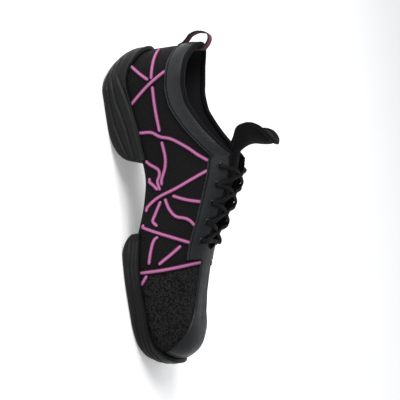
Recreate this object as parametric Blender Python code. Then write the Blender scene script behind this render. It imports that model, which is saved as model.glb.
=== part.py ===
# Split-sole dance sneaker, a left shoe standing empty on its two rubber blocks.
# The row frame has +X towards the toe, +Y towards the lateral side, +Z up, and
# its origin on the floor under the middle of the heel block. Lengths are in metres.

import math

import bmesh
import bpy
import numpy as np

# Sizes of the last
upper_length = 0.252
ball_width = 0.090
instep_height = 0.0795
collar_height = 0.063
heel_lift = 0.0170
forefoot_lift = 0.0075
heel_round = 0.031
toe_round = 0.034
fan_length = 0.060
feather_radius = 0.0045
origin_from_back = 0.042

# Sizes of the upper and what is laid on it
upper_wall = 0.0022
overlay_wall = 0.0010
clearance = 0.0003
lasting_margin = 0.012
collar_corner = 0.098
throat_end = 0.168
throat_round = 0.010
throat_half_gap = 0.0140
eyestay_bridge = 0.008
collar_band_width = 0.0165
eyestay_width = 0.0185
strip_width = 0.0130
strip_start_gap = 0.0025
heel_opening_end = 0.080
forefoot_opening_start = 0.162

# Sizes of the two sole blocks
heel_block_length = 0.092
forefoot_block_start = 0.150
heel_rim_height = 0.0240
forefoot_rim_height = 0.0133
sole_flare = 0.0040
rim_thickness = 0.0024
rib_depth = 0.0013
groove_width = 0.0020
groove_depth = 0.0014
groove_spacing = 0.0115
heel_groove_count = 4
forefoot_groove_count = 6
forefoot_groove_middle = 0.203

# Sizes of the insole, tongue, lacing and pull loop
insole_thickness = 0.0030
insole_inset = 0.0046
insole_gap = 0.0001
tongue_thickness = 0.0050
tongue_half_width = 0.031
tongue_throat_half = 0.0180
tongue_tail_half = 0.0150
tongue_reach = 0.180
tongue_free_length = 0.030
tongue_wrap = 0.46
tongue_gap = 0.0011
eyelet_count = 5
eyelet_first = 0.106
eyelet_pitch = 0.0140
eyelet_inset = 0.0080
eyelet_bore_radius = 0.0015
eyelet_barrel_radius = 0.0021
eyelet_flange_radius = 0.0031
eyelet_flange = 0.0006
eyelet_seat = 0.0002
lace_radius = 0.00135
lace_lift = 0.0006
lace_shift = 0.0022
loop_width = 0.011
loop_thickness = 0.0012
loop_slack = 0.0006

# Each row gives a share of the upper's length, then shares of the ball width:
# how far the middle of the plan lies to the lateral side, and its half width.
plan_table = (
    (0.00, 0.000, 0.345),
    (0.15, 0.002, 0.346),
    (0.28, 0.015, 0.352),
    (0.40, 0.036, 0.358),
    (0.50, 0.042, 0.390),
    (0.60, 0.032, 0.447),
    (0.68, 0.022, 0.489),
    (0.74, 0.016, 0.500),
    (0.82, 0.008, 0.485),
    (0.90, -0.012, 0.452),
    (1.00, -0.050, 0.405),
)
# Each row gives a share of the upper's length, then how much of the heel lift
# and of the forefoot lift the underside of the upper has there.
bottom_table = (
    (0.00, 1.00, 0.00),
    (0.20, 1.00, 0.00),
    (0.36, 1.32, 0.00),
    (0.41, 1.36, 0.00),
    (0.49, 1.15, 0.05),
    (0.56, 0.68, 0.45),
    (0.62, 0.22, 0.85),
    (0.68, 0.00, 1.00),
    (0.88, 0.00, 1.00),
    (0.95, 0.00, 1.22),
    (1.00, 0.00, 1.60),
)
# Each row gives a share of the upper's length, the ridge's height over the
# underside as a share of the instep height, its offset to the lateral side as a
# share of the ball width, and the squareness of the section's curve.
ridge_table = (
    (0.12, 1.680, 0.000, 2.00),
    (0.20, 1.460, 0.000, 2.02),
    (0.28, 1.230, 0.000, 2.10),
    (0.34, 1.050, -0.004, 2.25),
    (0.389, 0.960, -0.010, 2.36),
    (0.43, 0.918, -0.018, 2.38),
    (0.48, 0.868, -0.027, 2.36),
    (0.53, 0.820, -0.036, 2.32),
    (0.59, 0.760, -0.046, 2.30),
    (0.64, 0.702, -0.054, 2.30),
    (0.69, 0.645, -0.060, 2.34),
    (0.78, 0.552, -0.064, 2.44),
    (0.84, 0.500, -0.066, 2.52),
    (0.88, 0.468, -0.066, 2.55),
)
# Each row gives a share of the upper's length and the collar's edge over the
# heel seat as a share of the collar height.
collar_table = (
    (0.000, 1.005),
    (0.030, 0.935),
    (0.069, 0.867),
    (0.119, 0.820),
    (0.155, 0.799),
    (0.202, 0.811),
    (0.234, 0.855),
    (0.262, 0.906),
    (0.294, 0.975),
    (0.345, 1.108),
    (0.385, 1.225),
)
# Each row gives a share of the upper's length and the half gap of the throat as
# a share of its size at the top.
throat_table = ((0.36, 1.06), (0.42, 1.00), (0.50, 0.90), (0.58, 0.79), (0.67, 0.70))
# Each row gives a share of the upper's length and the width of the toe strip on
# each side of the ridge, as a share of its size at the throat.
strip_table = (
    (0.69, 1.00),
    (0.80, 1.02),
    (0.86, 1.12),
    (0.90, 1.40),
    (0.94, 2.10),
    (0.965, 3.20),
    (0.98, 4.60),
    (1.00, 5.20),
)
# Each row gives a share of the upper's length and the top of a block's side wall
# as a share of that block's rim height.
heel_rim_table = (
    (0.000, 1.62),
    (0.012, 1.42),
    (0.044, 1.19),
    (0.082, 0.98),
    (0.118, 0.92),
    (0.155, 0.95),
    (0.200, 0.99),
    (0.270, 1.08),
    (0.365, 1.15),
)
forefoot_rim_table = (
    (0.595, 1.22),
    (0.640, 1.14),
    (0.700, 1.04),
    (0.790, 1.00),
    (0.900, 1.03),
    (0.940, 1.12),
    (0.970, 1.42),
    (1.000, 1.95),
)
# Each row gives a share of the upper's length and how far the tread has lifted
# off the floor, as a share of the block's rim height.
heel_tread_table = (
    (0.000, 0.00),
    (0.245, 0.00),
    (0.285, 0.05),
    (0.320, 0.17),
    (0.343, 0.34),
    (0.357, 0.55),
    (0.365, 0.80),
)
forefoot_tread_table = (
    (0.595, 0.62),
    (0.605, 0.38),
    (0.625, 0.14),
    (0.655, 0.00),
    (0.930, 0.00),
    (0.965, 0.10),
    (1.000, 0.34),
)
# Each row of a block's side gives a share of the way down from rim to tread, how
# far it stands out as a share of the flare, and the rib there: 1 crest, 0 groove.
side_table = (
    (0.00, 0.00, 0.0),
    (0.10, 0.62, 0.6),
    (0.22, 0.90, 0.0),
    (0.36, 1.02, 1.0),
    (0.46, 1.04, 0.0),
    (0.58, 1.02, 1.0),
    (0.68, 0.94, 0.0),
    (0.82, 0.70, 1.0),
    (0.93, 0.15, 0.3),
    (1.00, -0.85, 0.0),
)
# Each row of the tongue above the throat gives how far ahead of the throat's top
# it lies and how far above, as shares of the free length, the lean of its section
# in degrees, its half width as a share of the tongue's, and its thickness as a
# share of the tongue's, which is fullest in the pad above the laces.
tongue_table = (
    (-0.09, 0.03, 22.0, 0.52, 1.00),
    (-0.18, 0.20, 42.0, 0.67, 1.05),
    (-0.19, 0.37, 62.0, 0.92, 1.35),
    (-0.14, 0.55, 75.0, 1.00, 1.60),
    (-0.08, 0.69, 83.0, 0.98, 1.60),
    (-0.03, 0.80, 87.0, 0.87, 1.40),
    (0.01, 0.88, 90.0, 0.60, 1.00),
)
# Each row of the pull loop gives how far it stands behind the collar's back and
# how high over the collar's edge, both as shares of the loop's height.
loop_height = 0.026
loop_table = (
    (0.00, -0.70),
    (0.00, -0.60),
    (0.10, -0.48),
    (0.24, -0.33),
    (0.31, -0.10),
    (0.27, 0.10),
    (0.18, 0.22),
    (0.06, 0.24),
    (-0.08, 0.17),
    (-0.20, 0.06),
)
loop_tail = 0.45


def curve(table, column, x):
    """A smooth curve without overshoot through one column of a table."""
    xs = np.array([row[0] for row in table])
    ys = np.array([row[column] for row in table])
    steps = np.diff(xs)
    slopes = np.diff(ys) / steps
    tangents = np.zeros(len(xs))
    same_way = slopes[:-1] * slopes[1:] > 0
    tangents[1:-1][same_way] = 2 / (1 / slopes[:-1][same_way] + 1 / slopes[1:][same_way])
    tangents[0] = slopes[0]
    tangents[-1] = slopes[-1]
    x = np.clip(x, xs[0], xs[-1])
    i = np.clip(np.searchsorted(xs, x, side="right") - 1, 0, len(steps) - 1)
    h = steps[i]
    t = (x - xs[i]) / h
    return (
        ys[i] * (1 + 2 * t) * (1 - t) ** 2
        + tangents[i] * h * t * (1 - t) ** 2
        + ys[i + 1] * t * t * (3 - 2 * t)
        + tangents[i + 1] * h * t * t * (t - 1)
    )


def bottom_height(x):
    share = x / upper_length
    return heel_lift * curve(bottom_table, 1, share) + forefoot_lift * curve(bottom_table, 2, share)


def middle(x):
    return ball_width * curve(plan_table, 1, x / upper_length)


def ridge_point(x):
    """Height and sideways place of the last's ridge."""
    share = x / upper_length
    height = bottom_height(x) + instep_height * curve(ridge_table, 1, share)
    return height, ball_width * curve(ridge_table, 2, share)


def fanned(x):
    """Where the column that starts at x on the outline meets the middle line.
    Near the heel and the toe the columns fan out from a stretch of that line."""
    back = fan_length / 2 + x * x / (2 * fan_length)
    front = upper_length - x
    ahead = upper_length - fan_length / 2 - front * front / (2 * fan_length)
    return np.where(x < fan_length, back, np.where(front < fan_length, ahead, x))


def station_lines():
    """Stations from heel to toe: their x, and how far the plan has rounded out."""
    quarter = np.linspace(0, math.pi / 2, 7)
    heel = [(heel_round * (1 - math.cos(a)), math.sin(a)) for a in quarter]
    straight = []
    breaks = (
        (heel_round, heel_block_length, 7, 0.80),
        (heel_block_length, forefoot_block_start, 6, 1.0),
        (forefoot_block_start, throat_end - throat_round, 1, 1.0),
        (throat_end, throat_end + eyestay_bridge, 1, 1.0),
        (throat_end + eyestay_bridge, throat_end + eyestay_bridge + strip_start_gap, 1, 1.0),
        (throat_end + eyestay_bridge + strip_start_gap, upper_length - toe_round, 4, 1.0),
    )
    for start, end, count, crowding in breaks:
        shares = (np.arange(1, count + 1) / count) ** crowding
        straight += [(start + (end - start) * share, 1.0) for share in shares]
    throat_start = throat_end - throat_round
    rounding = np.sin(np.linspace(0, math.pi / 2, 5))[1:]
    straight += [(throat_start + throat_round * share, 1.0) for share in rounding]
    toe_power = 2 / 2.5
    toe = [
        (upper_length - toe_round * (1 - math.cos(a) ** toe_power), math.sin(a) ** toe_power)
        for a in np.linspace(math.pi / 2, 0, 8)[1:]
    ]
    lines = heel + sorted(straight) + toe
    return np.array([x for x, _ in lines]), np.array([r for _, r in lines])


stations, rounding_out = station_lines()
station_count = len(stations)
ring_count = 2 * station_count - 2
# The ring runs from the heel along the medial side to the toe, and back along the lateral side.
ring_station = np.concatenate([np.arange(station_count), np.arange(station_count - 2, 0, -1)])
ring_side = np.concatenate([-np.ones(station_count), np.ones(station_count - 2)])
ring_x = stations[ring_station]


def outline():
    """Plan of the upper's side wall round the ring, and its outward normals."""
    half = ball_width * curve(plan_table, 2, ring_x / upper_length)
    y = middle(ring_x) + ring_side * half * rounding_out[ring_station]
    points = np.stack([ring_x, y], axis=1)
    along = np.roll(points, -1, axis=0) - np.roll(points, 1, axis=0)
    normals = np.stack([along[:, 1], -along[:, 0]], axis=1)
    return points, normals / np.linalg.norm(normals, axis=1, keepdims=True)


wall_plan, plan_normals = outline()
middle_x = fanned(ring_x)
middle_plan = np.stack([middle_x, middle(middle_x)], axis=1)
ridge_height, ridge_offset = ridge_point(middle_x)
ridge_plan = np.stack([middle_x, ridge_offset], axis=1)
feather_height = bottom_height(ring_x)
wall_foot = feather_height + feather_radius
squareness = curve(ridge_table, 3, middle_x / upper_length)


def wall_points(angle):
    """The side wall at an angle from 0 at its foot to a quarter turn at the ridge,
    one angle for each column of the ring."""
    inward = 1 - np.cos(angle) ** (2 / squareness)
    plan = wall_plan + (ridge_plan - wall_plan) * inward[:, None]
    height = wall_foot + (ridge_height - wall_foot) * np.sin(angle) ** (2 / squareness)
    return np.column_stack([plan, height])


def angle_at_height(height):
    share = np.clip((height - wall_foot) / (ridge_height - wall_foot), 0, 1)
    return np.arcsin(share ** (squareness / 2))


def angle_at_gap(half_gap):
    reach = np.linalg.norm(wall_plan - ridge_plan, axis=1)
    share = np.clip(half_gap / reach, 0, 1)
    return np.arccos(share ** (squareness / 2))


def angle_below(angle, distance):
    """The angle that lies a given distance down the wall from another angle."""
    steps = np.linspace(0, 1, 161)
    sweep = np.stack([wall_points(angle * share) for share in steps])
    lengths = np.linalg.norm(np.diff(sweep, axis=0), axis=2)
    run = np.concatenate([np.zeros((1, ring_count)), np.cumsum(lengths, axis=0)])
    wanted = np.clip(run[-1] - distance, 0, None)
    share = [np.interp(wanted[i], run[:, i], steps) for i in range(ring_count)]
    return angle * np.array(share)


def opening_edges():
    """Angle of the wall's top edge, and of the same edge without the throat's round end."""
    share = ring_x / upper_length
    collar = angle_at_height(heel_lift + collar_height * curve(collar_table, 1, share))
    half_gap = throat_half_gap * curve(throat_table, 1, share)
    run = np.clip((ring_x - throat_end + throat_round) / throat_round, 0, 1)
    rounded = half_gap * np.sqrt(1 - run**2)
    in_front = ring_x > collar_corner
    sharp = np.where(in_front, angle_at_gap(half_gap), collar)
    edge = np.where(in_front, angle_at_gap(rounded), collar)
    return np.where(ring_x >= throat_end - 1e-6, math.pi / 2, edge), sharp


def rim_height(x):
    """Top of the rubber side wall, over the arch a line from one block to the other."""
    share = x / upper_length
    heel = heel_rim_height * curve(heel_rim_table, 1, share)
    front = forefoot_rim_height * curve(forefoot_rim_table, 1, share)
    gap = forefoot_block_start - heel_block_length
    blend = np.clip((x - heel_block_length) / gap, 0, 1)
    return np.maximum(heel * (1 - blend) + front * blend, bottom_height(x) + feather_radius * 1.15)


edge_angle, sharp_edge_angle = opening_edges()
rim_angle = angle_at_height(rim_height(ring_x))
bridge_end = throat_end + eyestay_bridge


def panel_angles():
    """Lower edge of the collar band, the eyestay and the toe strip."""
    band = np.interp(
        ring_x,
        (0.85 * collar_corner, 1.05 * collar_corner),
        (collar_band_width, eyestay_width),
    )
    lower = angle_below(sharp_edge_angle, band)
    strip = strip_width * curve(strip_table, 1, ring_x / upper_length)
    strip_lower = angle_below(np.full(ring_count, math.pi / 2), strip)
    lower = np.where(ring_x > bridge_end + 0.5 * strip_start_gap, strip_lower, lower)
    above_rim = angle_at_height(rim_height(ring_x) + overlay_wall)
    return np.maximum(lower, above_rim)


panel_angle = panel_angles()

# The rows of the last from the middle of its underside up to the opening
bottom_rows = 4
corner_rows = 3
rim_rows = 2
side_rows = 2
panel_rows = 3
margin_row = 2
corner_row = bottom_rows - 1
foot_row = corner_row + corner_rows
rim_row = foot_row + rim_rows
panel_row = rim_row + side_rows
top_row = panel_row + panel_rows


def last_rows():
    """Points of the last's outer face, one row from the underside to the opening for each k."""
    margin = wall_plan - plan_normals * lasting_margin
    corner = wall_plan - plan_normals * feather_radius
    middle_bottom = bottom_height(middle_x)
    rows = [np.column_stack([middle_plan, middle_bottom])]
    half_way = (middle_plan + margin) / 2
    rows.append(np.column_stack([half_way, (middle_bottom + feather_height) / 2]))
    rows.append(np.column_stack([margin, feather_height]))
    rows.append(np.column_stack([corner, feather_height]))
    for k in range(1, corner_rows + 1):
        turn = math.pi / 2 * k / corner_rows
        plan = corner + plan_normals * feather_radius * math.sin(turn)
        rows.append(np.column_stack([plan, feather_height + feather_radius * (1 - math.cos(turn))]))
    spans = (
        (np.zeros(ring_count), rim_angle, rim_rows),
        (rim_angle, panel_angle, side_rows),
        (panel_angle, edge_angle, panel_rows),
    )
    for start, end, count in spans:
        for k in range(1, count + 1):
            rows.append(wall_points(start + (end - start) * k / count))
    return np.stack(rows, axis=1)


last = last_rows()


def cells(columns, rows):
    """Corners of the quads between neighbouring columns and rows of the ring."""
    found = []
    for i in columns:
        for k in rows:
            found.append(((i, k), ((i + 1) % ring_count, k), ((i + 1) % ring_count, k + 1), (i, k + 1)))
    return found


def merged_ids(points):
    """One number for each place, so that columns meeting on the middle line share points."""
    keys = np.round(points.reshape(-1, 3) / 1e-6).astype(np.int64)
    _, first, ids = np.unique(keys, axis=0, return_index=True, return_inverse=True)
    return first, ids.reshape(points.shape[:2])


def last_normals():
    """Outward normals of the last at each of its points."""
    first, ids = merged_ids(last)
    total = np.zeros((len(first), 3))
    for quad in cells(range(ring_count), range(top_row)):
        a, b, c, d = (last[i, k] for i, k in quad)
        normal = np.cross(c - a, d - b)
        for i, k in quad:
            total[ids[i, k]] += normal
    total /= np.linalg.norm(total, axis=1, keepdims=True)
    return total[ids]


last_out = last_normals()


def material(name, colour, roughness, metallic=0.0):
    made = bpy.data.materials.new(name)
    made.use_nodes = True
    shader = made.node_tree.nodes["Principled BSDF"]
    shader.inputs["Base Color"].default_value = (*colour, 1)
    shader.inputs["Roughness"].default_value = roughness
    shader.inputs["Metallic"].default_value = metallic
    return made


def add_object(name, mesh, finish):
    mesh.materials.append(finish)
    mesh.shade_smooth()
    mesh.set_sharp_from_angle(angle=math.radians(40))
    made = bpy.data.objects.new(name, mesh)
    made.location = (-origin_from_back, 0, 0)
    bpy.context.scene.collection.objects.link(made)
    return made


def mesh_of(name, points, faces):
    """A mesh from points and faces, with points in one place merged."""
    build = bmesh.new()
    verts = [build.verts.new(p) for p in points]
    for face in faces:
        corners = list(dict.fromkeys(face))
        if len(corners) > 2:
            build.faces.new([verts[v] for v in corners])
    bmesh.ops.remove_doubles(build, verts=build.verts, dist=2e-6)
    bmesh.ops.dissolve_degenerate(build, edges=build.edges, dist=1e-6)
    loose = [v for v in build.verts if not v.link_faces]
    bmesh.ops.delete(build, geom=loose, context="VERTS")
    bmesh.ops.recalc_face_normals(build, faces=build.faces)
    if build.calc_volume(signed=True) < 0:
        bmesh.ops.reverse_faces(build, faces=build.faces)
    mesh = bpy.data.meshes.new(name)
    build.to_mesh(mesh)
    build.free()
    return mesh


def sheet_mesh(name, points, quads):
    """An open sheet from the ring's cells, facing away from the foot."""
    flat = points.reshape(-1, 3)
    rows = points.shape[1]
    build = bmesh.new()
    verts = [build.verts.new(p) for p in flat]
    for quad in quads:
        corners = [verts[i * rows + k] for i, k in quad]
        build.faces.new(corners)
    loose = [v for v in build.verts if not v.link_faces]
    bmesh.ops.delete(build, geom=loose, context="VERTS")
    bmesh.ops.remove_doubles(build, verts=build.verts, dist=2e-6)
    mesh = bpy.data.meshes.new(name)
    build.to_mesh(mesh)
    build.free()
    return mesh


def thicken(shape, thickness, direction):
    solidify = shape.modifiers.new("wall", "SOLIDIFY")
    solidify.thickness = thickness
    solidify.offset = direction
    solidify.use_even_offset = True


def kept_columns(low, high):
    """Columns whose cell lies between two places along the shoe, on both sides."""
    found = []
    for i in range(ring_count):
        a = ring_x[i]
        b = ring_x[(i + 1) % ring_count]
        if min(a, b) >= low - 1e-6 and max(a, b) <= high + 1e-6:
            found.append(i)
    return found


def make_upper(finish):
    """One hollow wall: quarters, vamp, arch wrap and lasted margin."""
    everywhere = range(ring_count)
    arch = kept_columns(heel_opening_end - 0.006, forefoot_opening_start)
    quads = cells(everywhere, range(margin_row, top_row)) + cells(arch, range(margin_row))
    upper = add_object("upper", sheet_mesh("upper", last, quads), finish)
    thicken(upper, upper_wall, -1)
    return upper


def make_overlay(name, low, high, finish):
    """A leather panel that follows the upper's face at the overlay's clearance."""
    raised = last + last_out * clearance
    quads = cells(kept_columns(low, high), range(panel_row, top_row))
    panel = add_object(name, sheet_mesh(name, raised, quads), finish)
    thicken(panel, overlay_wall, 1)
    return panel


def side_profile(columns, rim, tread, heel_bevel):
    """Outer face of a block: rows from the rim down to the tread's edge."""
    rows = []
    top_plan = last[:, rim_row, :2]
    for down, out, rib in side_table:
        flare = clearance + rim_thickness + (sole_flare - rim_thickness) * out + rib_depth * (rib - 0.5)
        bevel = heel_bevel * max(down - 0.25, 0) ** 1.6
        offset = flare - bevel
        plan = top_plan + plan_normals * offset[:, None]
        height = rim + (tread - rim) * down
        rows.append(np.column_stack([plan, height]))
    return np.stack(rows, axis=1)


def make_block(name, low, high, tread_height, bevel, finish):
    """A sole block: cup over the last's lower edge, ribbed side and flat tread."""
    columns = kept_columns(low, high)
    cup = last[:, : rim_row + 1] + last_out[:, : rim_row + 1] * clearance
    rim = cup[:, rim_row, 2]
    tread = tread_height(ring_x)
    side = side_profile(columns, rim, tread, bevel)
    edge = side[:, -1]
    centre = np.column_stack([middle_plan, tread_height(middle_x)])
    under = [edge + (centre - edge) * share for share in (0.35, 1.0)]
    outer = np.concatenate([side, np.stack(under, axis=1)], axis=1)
    rows = np.concatenate([cup, outer], axis=1)
    count = rows.shape[1]
    for i in range(ring_count):
        if end_of(i, columns):
            rows[i, :, 0] = ring_x[i]
    flat = rows.reshape(-1, 3)
    faces = []
    for i in columns:
        j = (i + 1) % ring_count
        for k in range(count - 1):
            faces.append((i * count + k, j * count + k, j * count + k + 1, i * count + k + 1))
    ends = [i for i in range(ring_count) if end_of(i, columns)]
    first, second = ends
    loop = [first * count + k for k in range(count)]
    loop += [second * count + k for k in range(count - 1, -1, -1)]
    points, ids = np.unique(np.round(flat / 1e-6).astype(np.int64), axis=0, return_inverse=True)
    ids = ids.reshape(-1)
    loop = [int(ids[v]) for v in loop]
    loop = [v for n, v in enumerate(loop) if v != loop[n - 1]]
    merged = points * 1e-6
    faces = [tuple(int(ids[v]) for v in face) for face in faces] + [tuple(loop)]
    block = add_object(name, mesh_of(name, merged, faces), finish)
    return block


def end_of(i, columns):
    """Whether ring point i bounds the kept columns."""
    return (i in columns) != ((i - 1) % ring_count in columns)


def face_point(x, run):
    """A point of the last's face, a given run down from the ridge, lateral side positive."""
    share = x / upper_length
    side = 1 if run >= 0 else -1
    power = 2 / curve(ridge_table, 3, share)
    angles = np.linspace(math.pi / 2, 0.25, 120)
    wall_y = middle(x) + side * ball_width * curve(plan_table, 2, share)
    foot = bottom_height(x) + feather_radius
    top, offset = ridge_point(x)
    y = wall_y + (offset - wall_y) * (1 - np.cos(angles) ** power)
    z = foot + (top - foot) * np.sin(angles) ** power
    lengths = np.concatenate([[0], np.cumsum(np.hypot(np.diff(y), np.diff(z)))])
    return np.array([x, np.interp(abs(run), lengths, y), np.interp(abs(run), lengths, z)])


def face_normal(x, run):
    step = 0.0008
    ahead = face_point(x + step, run) - face_point(x - step, run)
    across = face_point(x, run + step) - face_point(x, run - step)
    normal = np.cross(ahead, across)
    return normal / np.linalg.norm(normal)


def throat_run(x, side):
    """Run from the ridge down to the throat's edge on one side."""
    gap = throat_half_gap * curve(throat_table, 1, x / upper_length)
    runs = np.linspace(0, 0.03, 61)
    _, offset = ridge_point(x)
    reach = [abs(face_point(x, side * run)[1] - offset) for run in runs]
    return float(np.interp(gap, reach, runs))


def slab(upper_grid, lower_grid):
    """A closed slab between two grids of points that face each other."""
    rows, columns = upper_grid.shape[:2]
    size = rows * columns
    points = list(upper_grid.reshape(-1, 3)) + list(lower_grid.reshape(-1, 3))
    faces = []
    for i in range(rows - 1):
        for j in range(columns - 1):
            a = i * columns + j
            faces.append((a, a + 1, a + columns + 1, a + columns))
            faces.append((a + size, a + columns + size, a + columns + 1 + size, a + 1 + size))
    border = [j for j in range(columns)]
    border += [i * columns + columns - 1 for i in range(1, rows)]
    border += [(rows - 1) * columns + j for j in range(columns - 2, -1, -1)]
    border += [i * columns for i in range(rows - 2, 0, -1)]
    for n, a in enumerate(border):
        b = border[(n + 1) % len(border)]
        faces.append((a, a + size, b + size, b))
    return points, faces


def make_insole(finish):
    """A flat inner sole that lies on the lasting margin."""
    edge = wall_plan - plan_normals * insole_inset
    margin = wall_plan - plan_normals * lasting_margin
    seat = bottom_height(middle_x)
    low = upper_wall + clearance + insole_gap
    high = low + insole_thickness
    layers = (
        (middle_plan, seat, low),
        ((middle_plan + margin) / 2, (seat + feather_height) / 2, low),
        (margin, feather_height, low),
        (edge, feather_height, low),
        (edge, feather_height, high),
        (margin, feather_height, high),
        (middle_plan, seat, high),
    )
    grid = np.stack([np.column_stack([plan, z + lift]) for plan, z, lift in layers], axis=1)
    count = len(layers)
    faces = []
    for i in range(ring_count):
        j = (i + 1) % ring_count
        for k in range(count - 1):
            faces.append((i * count + k, j * count + k, j * count + k + 1, i * count + k + 1))
    return add_object("insole", mesh_of("insole", grid.reshape(-1, 3), faces), finish)


def tongue_grid():
    """The last's face under the laces, carried on upwards into the free part."""
    across = np.linspace(-1, 1, 9)
    rows = []
    for x in np.linspace(tongue_reach, collar_corner + 0.002, 9):
        widening = (tongue_reach - x) / (tongue_reach - 0.15)
        half = tongue_tail_half + (tongue_throat_half - tongue_tail_half) * min(widening, 1)
        rows.append([face_point(x, s * half) for s in across])
    start = rows[-1][4]
    for ahead, up, lean, width, _ in tongue_table:
        centre = start + np.array([ahead, 0, up]) * tongue_free_length
        turn = math.radians(lean)
        half = tongue_half_width * width
        back = np.array([-math.sin(turn), 0, -math.cos(turn)]) * tongue_wrap * tongue_half_width
        row = [centre + np.array([0, s * half, 0]) + back * (s * width) ** 2 for s in across]
        rows.append(row)
    return np.array(rows)


def make_tongue(finish):
    grid = tongue_grid()
    normals = np.cross(np.gradient(grid, axis=1), np.gradient(grid, axis=0))
    normals /= np.linalg.norm(normals, axis=2, keepdims=True)
    face = grid - normals * (upper_wall + tongue_gap)
    shares = [1.0] * (len(grid) - len(tongue_table)) + [row[-1] for row in tongue_table]
    back = face - normals * tongue_thickness * np.array(shares)[:, None, None]
    return add_object("tongue", mesh_of("tongue", *slab(face, back)), finish)


def make_pull_loop(finish):
    """A ribbon from the collar band's back over the edge and down inside the collar."""
    edge_height = last[0, top_row, 2]
    outer = -(clearance + overlay_wall + clearance + loop_thickness / 2)
    inner = upper_wall + clearance + loop_slack + loop_thickness / 2
    path = [(outer - back * loop_height, edge_height + up * loop_height) for back, up in loop_table]
    path = [(x, z) for x, z in path if x < inner]
    for share in (0.0, 0.5, 1.0):
        path.append((inner, edge_height - loop_tail * loop_height * share))
    line = np.array(path)
    lean = np.interp(line[:, 1], last[0, rim_row:, 2], last[0, rim_row:, 0])
    line[:, 0] += lean
    along = np.gradient(line, axis=0)
    along /= np.linalg.norm(along, axis=1, keepdims=True)
    outward = np.column_stack([-along[:, 1], along[:, 0]])
    grids = []
    for way in (0.5, -0.5):
        side = line + outward * loop_thickness * way
        columns = [np.column_stack([side[:, 0], np.full(len(line), y), side[:, 1]]) for y in
                   (-loop_width / 2, loop_width / 2)]
        grids.append(np.stack(columns, axis=1))
    return add_object("pull_loop", mesh_of("pull_loop", *slab(*grids)), finish)


def eyelet_places():
    """Middle, normal and forward direction of each eyelet, by side and number."""
    places = {}
    for side in (-1, 1):
        for n in range(eyelet_count):
            x = eyelet_first + eyelet_pitch * n
            run = side * (throat_run(x, side) + eyelet_inset)
            normal = face_normal(x, run)
            ahead = face_point(x + 0.001, run) - face_point(x - 0.001, run)
            ahead -= normal * ahead.dot(normal)
            places[side, n] = (x, run, face_point(x, run), normal, ahead / np.linalg.norm(ahead))
    return places


def revolved(profile, centre, normal, ahead, segments=8):
    """Points and faces of a closed profile of radius and height, turned round a normal."""
    side = np.cross(normal, ahead)
    count = len(profile)
    points = []
    faces = []
    for i in range(segments):
        turn = 2 * math.pi * (i + 0.5) / segments
        spoke = ahead * math.cos(turn) + side * math.sin(turn)
        points += [centre + spoke * r + normal * h for r, h in profile]
        for k in range(count):
            a = i * count + k
            b = i * count + (k + 1) % count
            c = (i + 1) % segments * count
            faces.append((a, b, c + (k + 1) % count, c + k))
    return points, faces


def rod(centre, normal, ahead, radius, low, high, segments=8):
    """Points and faces of a closed straight rod."""
    side = np.cross(normal, ahead)
    turns = [2 * math.pi * (i + 0.5) / segments for i in range(segments)]
    points = []
    for height in (low, high):
        for turn in turns:
            spoke = ahead * math.cos(turn) + side * math.sin(turn)
            points.append(centre + spoke * radius + normal * height)
    faces = [(i, (i + 1) % segments, segments + (i + 1) % segments, segments + i) for i in range(segments)]
    faces += [tuple(range(segments)), tuple(range(2 * segments - 1, segments - 1, -1))]
    return points, faces


def add_cutter(name, shapes):
    """One hidden object made of several closed shapes."""
    points = []
    faces = []
    for shape_points, shape_faces in shapes:
        start = len(points)
        points += list(shape_points)
        faces += [tuple(v + start for v in face) for face in shape_faces]
    cutter = bpy.data.objects.new(name, mesh_of(name, points, faces))
    cutter.location = (-origin_from_back, 0, 0)
    bpy.context.scene.collection.objects.link(cutter)
    cutter.hide_render = True
    cutter.display_type = "WIRE"
    return cutter


def combine(shape, other, operation):
    boolean = shape.modifiers.new(operation.lower(), "BOOLEAN")
    boolean.operation = operation
    boolean.solver = "EXACT"
    boolean.object = other


def tube(line, radius, segments=8):
    """Points and faces of a closed round tube along a line."""
    along = np.gradient(line, axis=0)
    along /= np.linalg.norm(along, axis=1, keepdims=True)
    points = []
    faces = []
    for i, (place, way) in enumerate(zip(line, along)):
        side = np.cross(np.array([0, 0, 1.0]), way)
        side /= np.linalg.norm(side)
        up = np.cross(way, side)
        for k in range(segments):
            turn = 2 * math.pi * k / segments
            points.append(place + (side * math.cos(turn) + up * math.sin(turn)) * radius)
            if i:
                a = (i - 1) * segments + k
                b = (i - 1) * segments + (k + 1) % segments
                faces.append((a, b, b + segments, a + segments))
    last_ring = (len(line) - 1) * segments
    faces += [tuple(range(segments - 1, -1, -1)), tuple(last_ring + k for k in range(segments))]
    return points, faces


def strand(start, end, start_shift, end_shift):
    """A lace from one eyelet across to another, lifted over the flanges."""
    line = []
    for share in np.linspace(0, 1, 11):
        x = start[0] + start_shift + (end[0] + end_shift - start[0] - start_shift) * share
        run = start[1] + (end[1] - start[1]) * share
        out = abs(2 * share - 1)
        lift = clearance + overlay_wall + clearance + lace_radius
        lift += 0.0008 * min(max((out - 0.6) / 0.2, 0), 1) - 0.0014 * (1 - min(out / 0.6, 1) ** 2)
        line.append(face_point(x, run) + face_normal(x, run) * (lift + lace_lift))
    return tube(np.array(line), lace_radius)


def make_lacing(places, finish):
    for n in range(eyelet_count - 1):
        one = strand(places[-1, n], places[1, n + 1], lace_shift, -lace_shift)
        two = strand(places[1, n], places[-1, n + 1], lace_shift, -lace_shift)
        name = f"lace_crossing_{n + 1}"
        crossing = add_object(name, mesh_of(name, *one), finish)
        other = add_cutter(f"{name}_second", [two])
        combine(crossing, other, "UNION")
    low = eyelet_count - 1
    bar = strand(places[-1, low], places[1, low], lace_shift / 2, lace_shift / 2)
    add_object("lace_bar", mesh_of("lace_bar", *bar), finish)


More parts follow.
